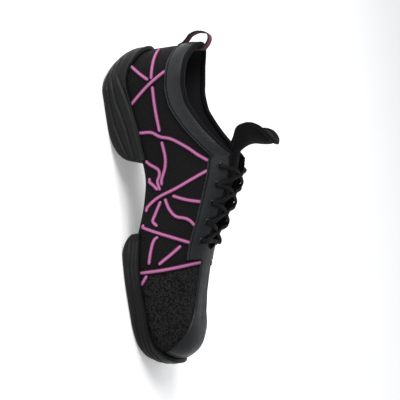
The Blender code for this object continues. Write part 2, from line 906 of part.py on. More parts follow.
def make_eyelets(places, finish):
    seat = clearance + overlay_wall + eyelet_seat
    depth = -upper_wall + 0.0001
    profile = (
        (eyelet_bore_radius, depth),
        (eyelet_barrel_radius, depth),
        (eyelet_barrel_radius, seat),
        (eyelet_flange_radius, seat),
        (eyelet_flange_radius * 0.9, seat + eyelet_flange),
        (eyelet_bore_radius * 1.15, seat + eyelet_flange),
    )
    for (side, n), (_, _, centre, normal, ahead) in places.items():
        word = "lateral" if side > 0 else "medial"
        name = f"eyelet_{word}_{n + 1}"
        ring = mesh_of(name, *revolved(profile, centre, normal, ahead))
        add_object(name, ring, finish)


def box(x, width, low, high, half_length):
    corners = [
        (x + sx * width / 2, sy * half_length, z)
        for z in (low, high)
        for sx, sy in ((-1, -1), (1, -1), (1, 1), (-1, 1))
    ]
    faces = [(3, 2, 1, 0), (4, 5, 6, 7)]
    faces += [(i, (i + 1) % 4, 4 + (i + 1) % 4, 4 + i) for i in range(4)]
    return corners, faces


def tread_grooves(middle_x_of_row, count):
    """Cutters for straight grooves across the tread, with a flat spot in the middle."""
    places = [middle_x_of_row + groove_spacing * (n - (count - 1) / 2) for n in range(count)]
    return [box(x, groove_width, -0.004, groove_depth, ball_width) for x in places]


def heel_tread(x):
    return heel_rim_height * curve(heel_tread_table, 1, x / upper_length)


def forefoot_tread(x):
    return forefoot_rim_height * curve(forefoot_tread_table, 1, x / upper_length)


for old in list(bpy.data.objects):
    bpy.data.objects.remove(old)

mesh_finish = material("black_mesh", (0.012, 0.012, 0.013), 0.85)
leather_finish = material("black_leather", (0.026, 0.029, 0.034), 0.45)
rubber_finish = material("black_rubber", (0.022, 0.023, 0.024), 0.6)
padding_finish = material("black_padding", (0.016, 0.016, 0.017), 0.9)
foam_finish = material("grey_lining", (0.035, 0.035, 0.037), 0.95)
lace_finish = material("black_cord", (0.014, 0.014, 0.015), 0.8)
ribbon_finish = material("raspberry_ribbon", (0.145, 0.018, 0.051), 0.8)
eyelet_finish = material("black_eyelets", (0.02, 0.02, 0.02), 0.25)

upper = make_upper(mesh_finish)
collar_band = make_overlay("collar_band", 0, bridge_end, leather_finish)
toe_strip = make_overlay("toe_strip", bridge_end + strip_start_gap, upper_length, leather_finish)

heel_bevel = 0.020 * np.clip(1 - ring_x / heel_round, 0, 1) ** 0.7
toe_bevel = 0.007 * np.clip(1 - (upper_length - ring_x) / toe_round, 0, 1)
blocks = (
    ("heel", 0, heel_block_length, heel_tread, heel_bevel, origin_from_back, heel_groove_count),
    (
        "forefoot",
        forefoot_block_start,
        upper_length,
        forefoot_tread,
        toe_bevel,
        forefoot_groove_middle,
        forefoot_groove_count,
    ),
)
for word, low, high, tread_height, bevel, groove_middle, groove_count in blocks:
    block = make_block(f"{word}_sole", low, high, tread_height, bevel, rubber_finish)
    grooves = add_cutter(f"{word}_tread_grooves", tread_grooves(groove_middle, groove_count))
    combine(block, grooves, "DIFFERENCE")

make_insole(foam_finish)
make_tongue(padding_finish)
make_pull_loop(ribbon_finish)
places = eyelet_places()
bores = [
    rod(centre, normal, ahead, eyelet_barrel_radius + 0.00018, -0.006, 0.006)
    for _, _, centre, normal, ahead in places.values()
]
eyelet_holes = add_cutter("eyelet_holes", bores)
combine(upper, eyelet_holes, "DIFFERENCE")
combine(collar_band, eyelet_holes, "DIFFERENCE")
make_eyelets(places, eyelet_finish)
make_lacing(places, lace_finish)
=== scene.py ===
import math

import bmesh
import bpy
import numpy as np
from mathutils import Matrix, Vector


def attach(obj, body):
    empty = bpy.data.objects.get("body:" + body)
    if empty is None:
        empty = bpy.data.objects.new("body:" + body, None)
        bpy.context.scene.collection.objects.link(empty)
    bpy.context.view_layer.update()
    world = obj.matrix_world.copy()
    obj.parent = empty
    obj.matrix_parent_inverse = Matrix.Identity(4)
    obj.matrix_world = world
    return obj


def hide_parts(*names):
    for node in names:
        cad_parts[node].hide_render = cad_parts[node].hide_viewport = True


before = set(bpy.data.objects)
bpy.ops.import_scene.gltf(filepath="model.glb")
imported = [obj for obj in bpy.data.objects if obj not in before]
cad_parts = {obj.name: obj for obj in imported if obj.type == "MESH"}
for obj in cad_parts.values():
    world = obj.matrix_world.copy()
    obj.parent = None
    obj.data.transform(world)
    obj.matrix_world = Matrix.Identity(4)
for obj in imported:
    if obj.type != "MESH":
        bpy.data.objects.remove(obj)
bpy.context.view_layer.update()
print("frame loaded")


def hexColour(code):
    # each sRGB channel is turned to linear light
    channels = [int(code[i:i + 2], 16) / 255 for i in (1, 3, 5)]
    return tuple(c / 12.92 if c < 0.04045 else ((c + 0.055) / 1.055) ** 2.4 for c in channels) + (1.0,)


def addNode(tree, kind, inputs=(), stops=(), feeds=None, **settings):
    # an input is a value or the socket that it is linked to, stops are a ramp's places and colours,
    # feeds is the socket that the first output goes to, and settings are the node's own
    node = tree.nodes.new("ShaderNode" + kind)
    for name, value in settings.items():
        setattr(node, name, value)
    for name, value in dict(inputs).items():
        if isinstance(value, bpy.types.NodeSocket):
            tree.links.new(value, node.inputs[name])
        else:
            node.inputs[name].default_value = value
    for n, (position, colour) in enumerate(stops):
        node.color_ramp.elements[n].position = position
        node.color_ramp.elements[n].color = hexColour(colour)
    if feeds:
        tree.links.new(node.outputs[0], feeds)
    return node


def newMaterial(name, colour, roughness, **sockets):
    # the shader's own values are those that are the same all over the surface
    made = bpy.data.materials.new(name)
    made.use_nodes = True
    shader = made.node_tree.nodes["Principled BSDF"].inputs
    for socket, value in dict(sockets, Base_Color=hexColour(colour), Roughness=roughness).items():
        shader[socket.replace("_", " ")].default_value = value
    return made, made.node_tree, shader


def stripes(tree, vector, axis, spacing):
    # half of one plus the sine of 2 pi times length over spacing: 0 in the groove and 1 on the crest
    parts = addNode(tree, "SeparateXYZ", {0: vector})
    turns = addNode(tree, "Math", {0: parts.outputs[axis], 1: 2 * math.pi / spacing}, operation="MULTIPLY")
    wave = addNode(tree, "Math", {0: turns.outputs[0]}, operation="SINE")
    return addNode(tree, "Math", {0: wave.outputs[0], 1: 0.5, 2: 0.5}, operation="MULTIPLY_ADD").outputs[0]


def mottle(tree, sockets, pattern, colours, low, high):
    # one slow noise varies the colour, and the roughness between low and high
    addNode(tree, "ValToRGB", {0: pattern}, colours, sockets["Base Color"])
    spread = {"Value": pattern, "From Min": 0.3, "From Max": 0.7, "To Min": low, "To Max": high}
    addNode(tree, "MapRange", spread, (), sockets["Roughness"])


def ribbedMeshMaterial():
    # polyester spacer mesh, warp-knitted: slanting ribs with open pores between them, so it is matte and dark;
    # the real ribs are about 1 mm apart, drawn 1.7 mm apart so that they show, and the toe has round pores
    knit = {"ribs": 0.0017, "rows": 0.0012, "pores": 620.0, "toeFrom": 0.134, "toeTo": 0.142}
    made, tree, sockets = newMaterial("ribbedSpacerMesh", "#0e0e0f", 0.85, Sheen_Weight=0.02,
                                      Sheen_Roughness=0.5, Specular_IOR_Level=0.12)
    uv = addNode(tree, "UVMap").outputs[0]
    place = addNode(tree, "TexCoord").outputs["Object"]
    ribs, rows = stripes(tree, uv, 0, knit["ribs"]), stripes(tree, uv, 1, knit["rows"])
    soft = addNode(tree, "Math", {0: rows, 1: 0.25, 2: 0.5}, operation="MULTIPLY_ADD")
    net = addNode(tree, "Math", {0: ribs, 1: soft.outputs[0]}, operation="MULTIPLY")
    pores = addNode(tree, "TexVoronoi", {"Vector": place, "Scale": knit["pores"]})
    dots = addNode(tree, "MapRange", {"Value": pores.outputs["Distance"], "From Min": 0.2, "From Max": 0.85,
                                      "To Min": 1.0, "To Max": 0.0})
    parts = addNode(tree, "SeparateXYZ", {0: place})
    toe = addNode(tree, "MapRange", {"Value": parts.outputs[0], "From Min": knit["toeFrom"],
                                     "From Max": knit["toeTo"]})
    height = addNode(tree, "Mix", {0: toe.outputs[0], 2: net.outputs[0], 3: dots.outputs[0]},
                     data_type="FLOAT").outputs[0]
    # painted shade: the colour follows the ribs' and pores' height, darker down in the grooves and pores and
    # lighter on the crests
    addNode(tree, "ValToRGB", {0: height}, ((0.2, "#030303"), (1.0, "#222223")), sockets["Base Color"])
    addNode(tree, "Bump", {"Height": height, "Strength": 0.9, "Distance": 0.0006}, (), sockets["Normal"])
    return made


def leatherMaterial():
    # corrected-grain calf with a semi-matt finish: pebbles under 1 mm and a cool, low satin shine
    made, tree, sockets = newMaterial("satinGrainLeather", "#14171b", 0.5, Specular_IOR_Level=0.33)
    place = addNode(tree, "TexCoord").outputs["Object"]
    pebbles = addNode(tree, "TexVoronoi", {"Vector": place, "Scale": 900.0}, feature="SMOOTH_F1")
    folds = addNode(tree, "TexNoise", {"Vector": place, "Scale": 160.0, "Detail": 6.0, "Roughness": 0.6})
    grain = addNode(tree, "Math", {0: folds.outputs[0], 1: 0.5, 2: pebbles.outputs["Distance"]},
                    operation="MULTIPLY_ADD")
    mottle(tree, sockets, folds.outputs[0], ((0.3, "#0a0c0f"), (0.75, "#12161a")), 0.36, 0.52)
    addNode(tree, "Bump", {"Height": grain.outputs[0], "Strength": 0.55, "Distance": 0.0003}, (),
            sockets["Normal"])
    return made


def rubberMaterial():
    # injection-moulded thermoplastic rubber: satin skin with a faint spark-eroded texture from the mould
    made, tree, sockets = newMaterial("mouldedSatinRubber", "#0b0c0c", 0.5, Specular_IOR_Level=0.2)
    place = addNode(tree, "TexCoord").outputs["Object"]
    skin = addNode(tree, "TexNoise", {"Vector": place, "Scale": 1400.0, "Detail": 3.0})
    scuffs = addNode(tree, "TexNoise", {"Vector": place, "Scale": 55.0, "Detail": 5.0, "Roughness": 0.65})
    mottle(tree, sockets, scuffs.outputs[0], ((0.35, "#050606"), (0.75, "#0b0c0c")), 0.42, 0.58)
    addNode(tree, "Bump", {"Height": skin.outputs[0], "Strength": 0.5, "Distance": 0.00012}, (),
            sockets["Normal"])
    return made


def clothMaterial(name, low, high, spacing, roughness=0.88):
    # plain woven cloth: warp and weft at right angles, so it is matte; threads are drawn about twice as coarse
    # as the real half millimetre so that they show
    made, tree, sockets = newMaterial(name, high, roughness, Sheen_Weight=0.02, Sheen_Roughness=0.5,
                                      Specular_IOR_Level=0.1)
    uv = addNode(tree, "UVMap").outputs[0]
    warp, weft = stripes(tree, uv, 0, spacing), stripes(tree, uv, 1, spacing)
    weave = addNode(tree, "Math", {0: warp, 1: weft}, operation="MAXIMUM").outputs[0]
    # painted shade: the colour follows the weave's height, from the low colour in the gaps between threads to the
    # high colour on the threads
    addNode(tree, "ValToRGB", {0: weave}, ((0.2, low), (0.95, high)), sockets["Base Color"])
    addNode(tree, "Bump", {"Height": weave, "Strength": 0.7, "Distance": 0.0002}, (), sockets["Normal"])
    return made


def braidMaterial(name, low, high, edge, pitch, around, roughness=0.75):
    # round or flat braid: two sets of strands wind opposite ways, so lozenges run along the cord;
    # painted shade darkens the gaps between strands, and its flanks get the darker edge colour as painted shade,
    # because they lie in the cloth and catch little light
    made, tree, sockets = newMaterial(name, high, roughness, Sheen_Weight=0.02, Sheen_Roughness=0.4,
                                      Specular_IOR_Level=0.14)
    parts = addNode(tree, "SeparateXYZ", {0: addNode(tree, "UVMap").outputs[0]})
    along, turns, flank = (addNode(tree, "Math", {0: parts.outputs[axis], 1: 2 * math.pi * times},
                                   operation="MULTIPLY").outputs[0]
                           for axis, times in ((0, 1 / pitch), (1, around), (1, 1)))
    strands = []
    for way in ("ADD", "SUBTRACT"):
        phase = addNode(tree, "Math", {0: along, 1: turns}, operation=way)
        strands.append(addNode(tree, "Math", {0: phase.outputs[0]}, operation="SINE").outputs[0])
    braid = addNode(tree, "Math", {0: strands[0], 1: strands[1]}, operation="MULTIPLY")
    height = addNode(tree, "Math", {0: braid.outputs[0], 1: 0.5, 2: 0.5}, operation="MULTIPLY_ADD").outputs[0]
    # painted shade: the tint is darker in the gaps between strands and lighter on the strands
    tint = addNode(tree, "ValToRGB", {0: height}, ((0.0, low), (0.4, high)))
    crown = addNode(tree, "Math", {0: flank}, operation="SINE")
    lit = addNode(tree, "MapRange", {"Value": crown.outputs[0], "From Min": 0.76, "From Max": 0.85})
    # painted shade: all of the cord but its crown, which faces out, takes the darker edge colour
    colour = addNode(tree, "Mix", {0: lit.outputs[0], 6: hexColour(edge), 7: tint.outputs[0]},
                     data_type="RGBA")
    tree.links.new(colour.outputs[2], sockets["Base Color"])
    addNode(tree, "Bump", {"Height": height, "Strength": 0.8, "Distance": 0.0003}, (), sockets["Normal"])
    return made


def ribbonMaterial():
    # grosgrain ribbon: cross ribs, raspberry face with black selvedges, dull; the ribs are drawn 1.1 mm apart,
    # a little coarser than real ones
    made, tree, sockets = newMaterial("grosgrainRibbon", "#6a2440", 0.8, Sheen_Weight=0.05,
                                      Specular_IOR_Level=0.3)
    uv = addNode(tree, "UVMap").outputs[0]
    parts = addNode(tree, "SeparateXYZ", {0: uv})
    centred = addNode(tree, "Math", {0: parts.outputs[1], 1: 0.5}, operation="SUBTRACT")
    away = addNode(tree, "Math", {0: centred.outputs[0]}, operation="ABSOLUTE")
    addNode(tree, "ValToRGB", {0: away.outputs[0]}, ((0.27, "#6d2442"), (0.31, "#121012")),
            sockets["Base Color"])
    addNode(tree, "Bump", {"Height": stripes(tree, uv, 0, 0.0011), "Strength": 0.7, "Distance": 0.0003}, (),
            sockets["Normal"])
    return made


def enamelMaterial():
    # stove-enamelled brass eyelet: hard black with a worn, soft gloss
    made, tree, sockets = newMaterial("blackEnamel", "#0b0b0c", 0.4, Specular_IOR_Level=0.3)
    place = addNode(tree, "TexCoord").outputs["Object"]
    wear = addNode(tree, "TexNoise", {"Vector": place, "Scale": 500.0, "Detail": 3.0}).outputs[0]
    worn = {"Value": wear, "From Min": 0.35, "From Max": 0.7, "To Min": 0.34, "To Max": 0.5}
    addNode(tree, "MapRange", worn, (), sockets["Roughness"])
    addNode(tree, "Bump", {"Height": wear, "Strength": 0.3, "Distance": 0.00005}, (), sockets["Normal"])
    return made


finishes = {
    "mesh": ribbedMeshMaterial(),
    "leather": leatherMaterial(),
    "rubber": rubberMaterial(),
    # each cloth's first colour is painted shade in the gaps of its weave
    "lining": clothMaterial("brushedLining", "#121213", "#29292c", 0.0012, 0.95),
    "binding": clothMaterial("textileBinding", "#050506", "#101012", 0.0009),
    "padding": clothMaterial("paddedTongueCloth", "#050506", "#111113", 0.0013, 0.9),
    # each braid's first colour is painted shade in the gaps between strands, and its third colour is painted
    # shade on its flanks
    "lace": braidMaterial("roundBraidLace", "#030304", "#0e0e10", "#060607", 0.0030, 3.0),
    "cord": braidMaterial("pinkBraidedCord", "#6c2c54", "#a1638a", "#450e37", 0.0026, 2.0),
    "thread": braidMaterial("twistedThread", "#08080a", "#202125", "#101012", 0.0008, 1.0),
    "ribbon": ribbonMaterial(),
    "enamel": enamelMaterial(),
}
print("materials made")


# the last is one closed form, and every piece is laid on it; lengths are in metres, x from the upper's back
last = {
    "length": 0.252, "ballWidth": 0.090, "instep": 0.0795, "collar": 0.063, "heelLift": 0.0170,
    "forefootLift": 0.0075, "heelRound": 0.031, "toeRound": 0.034, "heelShare": 0.165, "toeShare": 0.80,
    "toePower": 0.8, "fan": 0.060, "feather": 0.0045, "origin": 0.042, "collarCorner": 0.098,
    "throatEnd": 0.168, "throatRound": 0.010, "throatHalf": 0.0140, "bridge": 0.008, "bandWidth": 0.0165,
    "eyestayWidth": 0.0185, "stripWidth": 0.0130, "heelBlock": 0.092, "forefootBlock": 0.150,
    "heelRim": 0.0240, "forefootRim": 0.0133,
}
# each row is a share of the last's length, and there the share of the length or width that the name stands for
lastRows = {
    "middle": ((0, 0), (0.15, 0.002), (0.28, 0.015), (0.40, 0.036), (0.50, 0.042), (0.60, 0.032),
               (0.68, 0.022), (0.74, 0.016), (0.82, 0.008), (0.90, -0.012), (1, -0.05)),
    "half": ((0, 0.345), (0.15, 0.346), (0.28, 0.352), (0.40, 0.358), (0.50, 0.390), (0.60, 0.447),
             (0.68, 0.489), (0.74, 0.5), (0.82, 0.485), (0.90, 0.452), (1, 0.405)),
    "heelPart": ((0, 1), (0.20, 1), (0.36, 1.32), (0.41, 1.36), (0.49, 1.15), (0.56, 0.68), (0.62, 0.22),
                 (0.68, 0), (1, 0)),
    "toePart": ((0, 0), (0.41, 0), (0.49, 0.05), (0.56, 0.45), (0.62, 0.85), (0.68, 1), (0.88, 1),
                (0.95, 1.22), (1, 1.6)),
    "ridge": ((0.12, 1.68), (0.20, 1.46), (0.28, 1.23), (0.34, 1.05), (0.389, 0.96), (0.43, 0.918),
              (0.48, 0.868), (0.53, 0.82), (0.59, 0.76), (0.64, 0.702), (0.69, 0.645), (0.78, 0.552),
              (0.84, 0.5), (0.88, 0.468)),
    "ridgeSide": ((0.28, 0), (0.34, -0.004), (0.389, -0.010), (0.43, -0.018), (0.48, -0.027), (0.53, -0.036),
                  (0.59, -0.046), (0.64, -0.054), (0.69, -0.06), (0.78, -0.064), (0.88, -0.066)),
    "square": ((0.12, 2), (0.20, 2.02), (0.28, 2.1), (0.34, 2.25), (0.389, 2.36), (0.43, 2.38), (0.48, 2.36),
               (0.53, 2.32), (0.59, 2.3), (0.64, 2.3), (0.69, 2.34), (0.78, 2.44), (0.84, 2.52), (0.88, 2.55)),
    "collar": ((0, 1.005), (0.03, 0.935), (0.069, 0.867), (0.119, 0.82), (0.155, 0.799), (0.202, 0.811),
               (0.234, 0.855), (0.262, 0.906), (0.294, 0.975), (0.345, 1.108), (0.385, 1.225)),
    "throat": ((0.36, 1.06), (0.42, 1), (0.50, 0.9), (0.58, 0.79), (0.67, 0.7)),
    "strip": ((0.69, 1), (0.80, 1.02), (0.86, 1.12), (0.90, 1.4), (0.94, 2.1), (0.965, 3.2), (0.98, 4.6),
              (1, 5.2)),
    "heelRim": ((0, 1.62), (0.012, 1.42), (0.044, 1.19), (0.082, 0.98), (0.118, 0.92), (0.155, 0.95),
                (0.20, 0.99), (0.27, 1.08), (0.365, 1.15)),
    "forefootRim": ((0.595, 1.22), (0.64, 1.14), (0.70, 1.04), (0.79, 1), (0.90, 1.03), (0.94, 1.12),
                    (0.97, 1.42), (1, 1.95)),
    "heelTread": ((0, 0), (0.245, 0), (0.285, 0.05), (0.32, 0.17), (0.343, 0.34), (0.357, 0.55), (0.365, 0.8)),
    "forefootTread": ((0.595, 0.62), (0.605, 0.38), (0.625, 0.14), (0.655, 0), (0.93, 0), (0.965, 0.1),
                      (1, 0.34)),
}


def unit(vectors):
    # the same directions with a length of 1
    return vectors / np.maximum(np.linalg.norm(vectors, axis=-1, keepdims=True), 1e-12)


def lengthAlong(points, axis=0):
    # running length from the first point, along one direction of a path or grid
    steps = np.diff(points, axis=axis, prepend=np.take(points, [0], axis))
    return np.cumsum(np.linalg.norm(steps, axis=-1), axis=axis)


def pairUp(first, second):
    # one pair for each point of a grid, out of two arrays that fit together
    return np.stack(np.broadcast_arrays(first, second), axis=-1)


def smoothCurve(name, x):
    # cubic through the rows of a table, with slopes averaged so that it never overshoots
    xs, ys = np.array(lastRows[name], dtype=float).T
    steps = np.diff(xs)
    slopes = np.diff(ys) / steps
    same = slopes[:-1] * slopes[1:] > 0
    before, after = np.where(same, slopes[:-1], 1), np.where(same, slopes[1:], 1)
    tangents = np.concatenate([slopes[:1], np.where(same, 2 / (1 / before + 1 / after), 0), slopes[-1:]])
    x = np.clip(x, xs[0], xs[-1])
    i = np.clip(np.searchsorted(xs, x, side="right") - 1, 0, len(steps) - 1)
    h, t = steps[i], (x - xs[i]) / steps[i]
    low = ys[i] * (1 + 2 * t) * (1 - t) ** 2 + tangents[i] * h * t * (1 - t) ** 2
    return low + ys[i + 1] * t * t * (3 - 2 * t) + tangents[i + 1] * h * t * t * (t - 1)


def undersideHeight(x):
    # heel lift and forefoot lift, each times its share at x
    heel, toe = smoothCurve("heelPart", x / last["length"]), smoothCurve("toePart", x / last["length"])
    return last["heelLift"] * heel + last["forefootLift"] * toe


def fanned(x):
    # columns near heel and toe lean in, so that they meet along the middle line instead of at one pole
    fan, front = last["fan"], last["length"] - x
    back = fan / 2 + x * x / (2 * fan)
    ahead = last["length"] - fan / 2 - front * front / (2 * fan)
    return np.where(x < fan, back, np.where(front < fan, ahead, x))


def makeRing():
    # t runs from 0 at the heel along the medial side to 1 at the toe, and back along the lateral side to 2;
    # the outline is half a circle at the heel, a squarer arc at the toe, and the table's width between them
    t = np.linspace(0, 2, 2401)
    s, side = np.where(t <= 1, t, 2 - t), np.where(t <= 1, -1.0, 1.0)
    heelShare, toeShare = last["heelShare"], last["toeShare"]
    a = np.clip(s / heelShare, 0, 1) * math.pi / 2
    b = np.clip((1 - s) / (1 - toeShare), 0, 1) * math.pi / 2
    straight = last["heelRound"] + (s - heelShare) / (toeShare - heelShare) * (
        last["length"] - last["toeRound"] - last["heelRound"])
    x = np.where(s < heelShare, last["heelRound"] * (1 - np.cos(a)), straight)
    x = np.where(s > toeShare, last["length"] - last["toeRound"] * (1 - np.cos(b) ** last["toePower"]), x)
    full = np.where(s < heelShare, np.sin(a), np.where(s > toeShare, np.sin(b) ** last["toePower"], 1.0))
    share = x / last["length"]
    y = last["ballWidth"] * (smoothCurve("middle", share) + side * smoothCurve("half", share) * full)
    dx, dy = np.gradient(x), np.gradient(y)
    dx[0] = dx[-1] = 0
    size, middleX = np.hypot(dx, dy), fanned(x)
    share = middleX / last["length"]
    return t, {
        "x": x, "y": y, "normalX": dy / size, "normalY": -dx / size, "feather": undersideHeight(x),
        "middleX": middleX, "middleY": last["ballWidth"] * smoothCurve("middle", share),
        "middleZ": undersideHeight(middleX), "ridgeY": last["ballWidth"] * smoothCurve("ridgeSide", share),
        "ridgeZ": undersideHeight(middleX) + last["instep"] * smoothCurve("ridge", share),
        "square": smoothCurve("square", share),
    }


ringT, ring = makeRing()


def ringAt(t, *names):
    # the ring's values at the places t, straight between its points; several names give the last axis
    found = [np.interp(np.mod(t, 2), ringT, ring[name]) for name in names]
    return np.stack(found, axis=-1) if len(names) > 1 else found[0]


def wallPoint(t, angle):
    # superellipse section: 0 is the foot of the side wall, a quarter turn is the ridge over the instep
    power = 2 / ringAt(t, "square")
    inward = 1 - np.cos(angle) ** power
    x0, y0, foot = ringAt(t, "x"), ringAt(t, "y"), ringAt(t, "feather") + last["feather"]
    x = x0 + (ringAt(t, "middleX") - x0) * inward
    y = y0 + (ringAt(t, "ridgeY") - y0) * inward
    return np.stack([x, y, foot + (ringAt(t, "ridgeZ") - foot) * np.sin(angle) ** power], axis=-1)


def angleAtHeight(t, z):
    # the section turned round: arcsine of the height's share of the ridge's, to half the section's power
    foot = ringAt(t, "feather") + last["feather"]
    share = np.clip((z - foot) / (ringAt(t, "ridgeZ") - foot), 0, 1)
    return np.arcsin(share ** (ringAt(t, "square") / 2))


def angleAtGap(t, gap):
    # the same for a distance from the ridge: arccosine of its share of the whole reach
    reach = np.hypot(ringAt(t, "x") - ringAt(t, "middleX"), ringAt(t, "y") - ringAt(t, "ridgeY"))
    return np.arccos(np.clip(gap / reach, 0, 1) ** (ringAt(t, "square") / 2))


def angleBelow(t, angle, distance, count=160):
    # walks down the wall from an angle until the given length is passed
    run = lengthAlong(wallPoint(t[None, :], angle[None, :] * np.linspace(0, 1, count + 1)[:, None]))
    wanted = np.clip(run[-1] - distance, 0, None)
    i = np.clip((run < wanted[None, :]).sum(axis=0) - 1, 0, count - 1)
    low, high = (np.take_along_axis(run, (i + k)[None, :], 0)[0] for k in (0, 1))
    return angle * (i + np.clip((wanted - low) / np.maximum(high - low, 1e-9), 0, 1)) / count


def rimHeight(x):
    # the cups' rims, blended in a straight line over the arch and never below the feather line
    heel = last["heelRim"] * smoothCurve("heelRim", x / last["length"])
    front = last["forefootRim"] * smoothCurve("forefootRim", x / last["length"])
    blend = np.clip((x - last["heelBlock"]) / (last["forefootBlock"] - last["heelBlock"]), 0, 1)
    return np.maximum(heel * (1 - blend) + front * blend, undersideHeight(x) + last["feather"] * 1.15)


def markEdges():
    # angles of the topline, the band's lower edge, the strip's edge and the rubber rim, all round the ring
    x, share, corner = ring["x"], ring["x"] / last["length"], last["collarCorner"]
    collar = angleAtHeight(ringT, last["heelLift"] + last["collar"] * smoothCurve("collar", share))
    gap = last["throatHalf"] * smoothCurve("throat", share)
    run = np.clip((x - last["throatEnd"] + last["throatRound"]) / last["throatRound"], 0, 1)
    sharp = np.where(x > corner, angleAtGap(ringT, gap), collar)
    edge = np.where(x > corner, angleAtGap(ringT, gap * np.sqrt(1 - run ** 2)), collar)
    ring["edge"] = np.where(x >= last["throatEnd"], math.pi / 2, edge)
    width = np.interp(x, (0.85 * corner, 1.05 * corner), (last["bandWidth"], last["eyestayWidth"]))
    above = angleAtHeight(ringT, rimHeight(x) + 0.001)
    ring["band"] = np.maximum(angleBelow(ringT, sharp, width), above)
    strip = last["stripWidth"] * smoothCurve("strip", share)
    ring["strip"] = np.maximum(angleBelow(ringT, np.full(len(x), math.pi / 2), strip), above)
    ring["rim"] = angleAtHeight(ringT, rimHeight(x))


markEdges()


def sideT(x, side):
    # the ring place of a column that starts at x on one side, the lateral one positive
    half = ringT <= 1
    t = np.interp(x, ring["x"][half], ringT[half])
    return t if side < 0 else 2 - t


def surfaceAt(t, angle, lift=0.0):
    # a point on the last, lifted along its outward normal: the cross product of two small steps on the face
    step = 1e-3
    angle = np.clip(angle, 2 * step, math.pi / 2 - 1e-6)
    point = wallPoint(t, angle)
    normal = unit(np.cross(wallPoint(t + step, angle) - wallPoint(t - step, angle),
                           wallPoint(t, np.minimum(angle + step, math.pi / 2)) - wallPoint(t, angle - step)))
    return point + normal * np.asarray(lift)[..., None], normal


print("last worked out")


def newObject(name, data):
    made = bpy.data.objects.new(name, data)
    bpy.context.scene.collection.objects.link(made)
    return made


def meshPiece(name, points, quads, uv, material, doubles=1e-5, fill=True):
    # merges doubles, and for a solid closes its open ends and turns its faces outwards
    mesh = bpy.data.meshes.new(name)
    mesh.from_pydata((points.reshape(-1, 3) - np.array([last["origin"], 0, 0])).tolist(), [], quads.tolist())
    layer = mesh.uv_layers.new(name="UVMap")
    layer.data.foreach_set("uv", uv.reshape(-1, 2)[quads.ravel()].ravel())
    build = bmesh.new()
    build.from_mesh(mesh)
    bmesh.ops.remove_doubles(build, verts=build.verts, dist=doubles)
    bmesh.ops.dissolve_degenerate(build, edges=build.edges, dist=1e-6)
    if fill:
        bmesh.ops.holes_fill(build, edges=[edge for edge in build.edges if edge.is_boundary], sides=0)
        bmesh.ops.recalc_face_normals(build, faces=build.faces)
    build.to_mesh(mesh)
    build.free()
    mesh.materials.append(material)
    mesh.shade_smooth()
    return newObject(name, mesh)


def gridPiece(name, points, material, uv=None, closed=False, wall=0.0, inner=None):
    # a quad sheet over a grid of points: a solid by itself, or a sheet that gets a wall to the inside
    rows, columns = points.shape[:2]
    i, j = np.meshgrid(np.arange(rows if closed else rows - 1), np.arange(columns - 1), indexing="ij")
    a, b = (i * columns + j).ravel(), (((i + 1) % rows) * columns + j).ravel()
    if uv is None:
        uv = pairUp(lengthAlong(points), lengthAlong(points, 1))
    piece = meshPiece(name, points, np.stack([a, b, b + 1, a + 1], axis=1), uv, material, fill=not wall)
    if wall:
        solidify = piece.modifiers.new("wall", "SOLIDIFY")
        solidify.thickness = wall
        solidify.offset = -1
        if inner is not None:
            piece.data.materials.append(inner)
            solidify.material_offset = 1
            solidify.material_offset_rim = 1
    return piece


def finishPiece(piece, slot, *nodes):
    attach(piece, "root")
    if nodes:
        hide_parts(*nodes)
    return piece


def smoothPath(points, count):
    # Catmull-Rom spline through the points, spaced evenly along its length; works on paths and on grids
    points = np.asarray(points, dtype=float)
    ends = np.concatenate([[2 * points[0] - points[1]], points, [2 * points[-1] - points[-2]]])
    u = np.linspace(0, len(points) - 1, 24 * len(points))
    i = np.minimum(u.astype(int), len(points) - 2)
    f = (u - i).reshape((-1,) + (1,) * (points.ndim - 1))
    p0, p1, p2, p3 = ends[i], ends[i + 1], ends[i + 2], ends[i + 3]
    dense = 0.5 * (2 * p1 + (p2 - p0) * f + (2 * p0 - 5 * p1 + 4 * p2 - p3) * f ** 2
                   + (3 * p1 - p0 - 3 * p2 + p3) * f ** 3)
    flat = dense.reshape(len(dense), -1)
    run = lengthAlong(flat)
    even = np.linspace(0, run[-1], count)
    columns = [np.interp(even, run, column) for column in flat.T]
    return np.stack(columns, axis=1).reshape((count,) + points.shape[1:])


def tubeGrid(path, normals, radius, flat=1.0, around=12):
    # an oval profile carried along a path: radius to each side, flat times that along the normal, and a round
    # end where the radius is the chord of a circle
    along = unit(np.gradient(path, axis=0))
    across = unit(np.cross(normals, along))
    up = np.cross(along, across)
    turn = np.linspace(0, 2 * math.pi, around + 1)
    run = lengthAlong(path)
    end = np.clip(np.minimum(run, run[-1] - run) / radius, 0, 1)
    spokes = across[:, None] * np.cos(turn)[None, :, None] + up[:, None] * np.sin(turn)[None, :, None] * flat
    grid = path[:, None] + spokes * (radius * np.sqrt(1 - (1 - end) ** 2))[:, None, None]
    return grid, pairUp(run[:, None], (turn / (2 * math.pi))[None, :])


def joinPieces(name, pieces):
    # one object out of several, built with bmesh so that no operator context is needed
    build = bmesh.new()
    mesh = bpy.data.meshes.new(name)
    for piece in pieces:
        build.from_mesh(piece.data)
    build.to_mesh(mesh)
    build.free()
    mesh.materials.append(pieces[0].data.materials[0])
    mesh.shade_smooth()
    for piece in pieces:
        bpy.data.objects.remove(piece)
    return newObject(name, mesh)


# a crease is its x at the ridge, its lean, its width and its depth as a share of creaseDepth
upper = {"columns": 420, "wallRows": 46, "wall": 0.0020, "margin": 0.012, "ribLean": 0.75,
         "creaseDepth": 0.0005,
         "creases": ((0.176, 0.10, 0.0040, 1.0), (0.187, -0.12, 0.0045, 0.8), (0.199, 0.16, 0.0050, 0.5))}


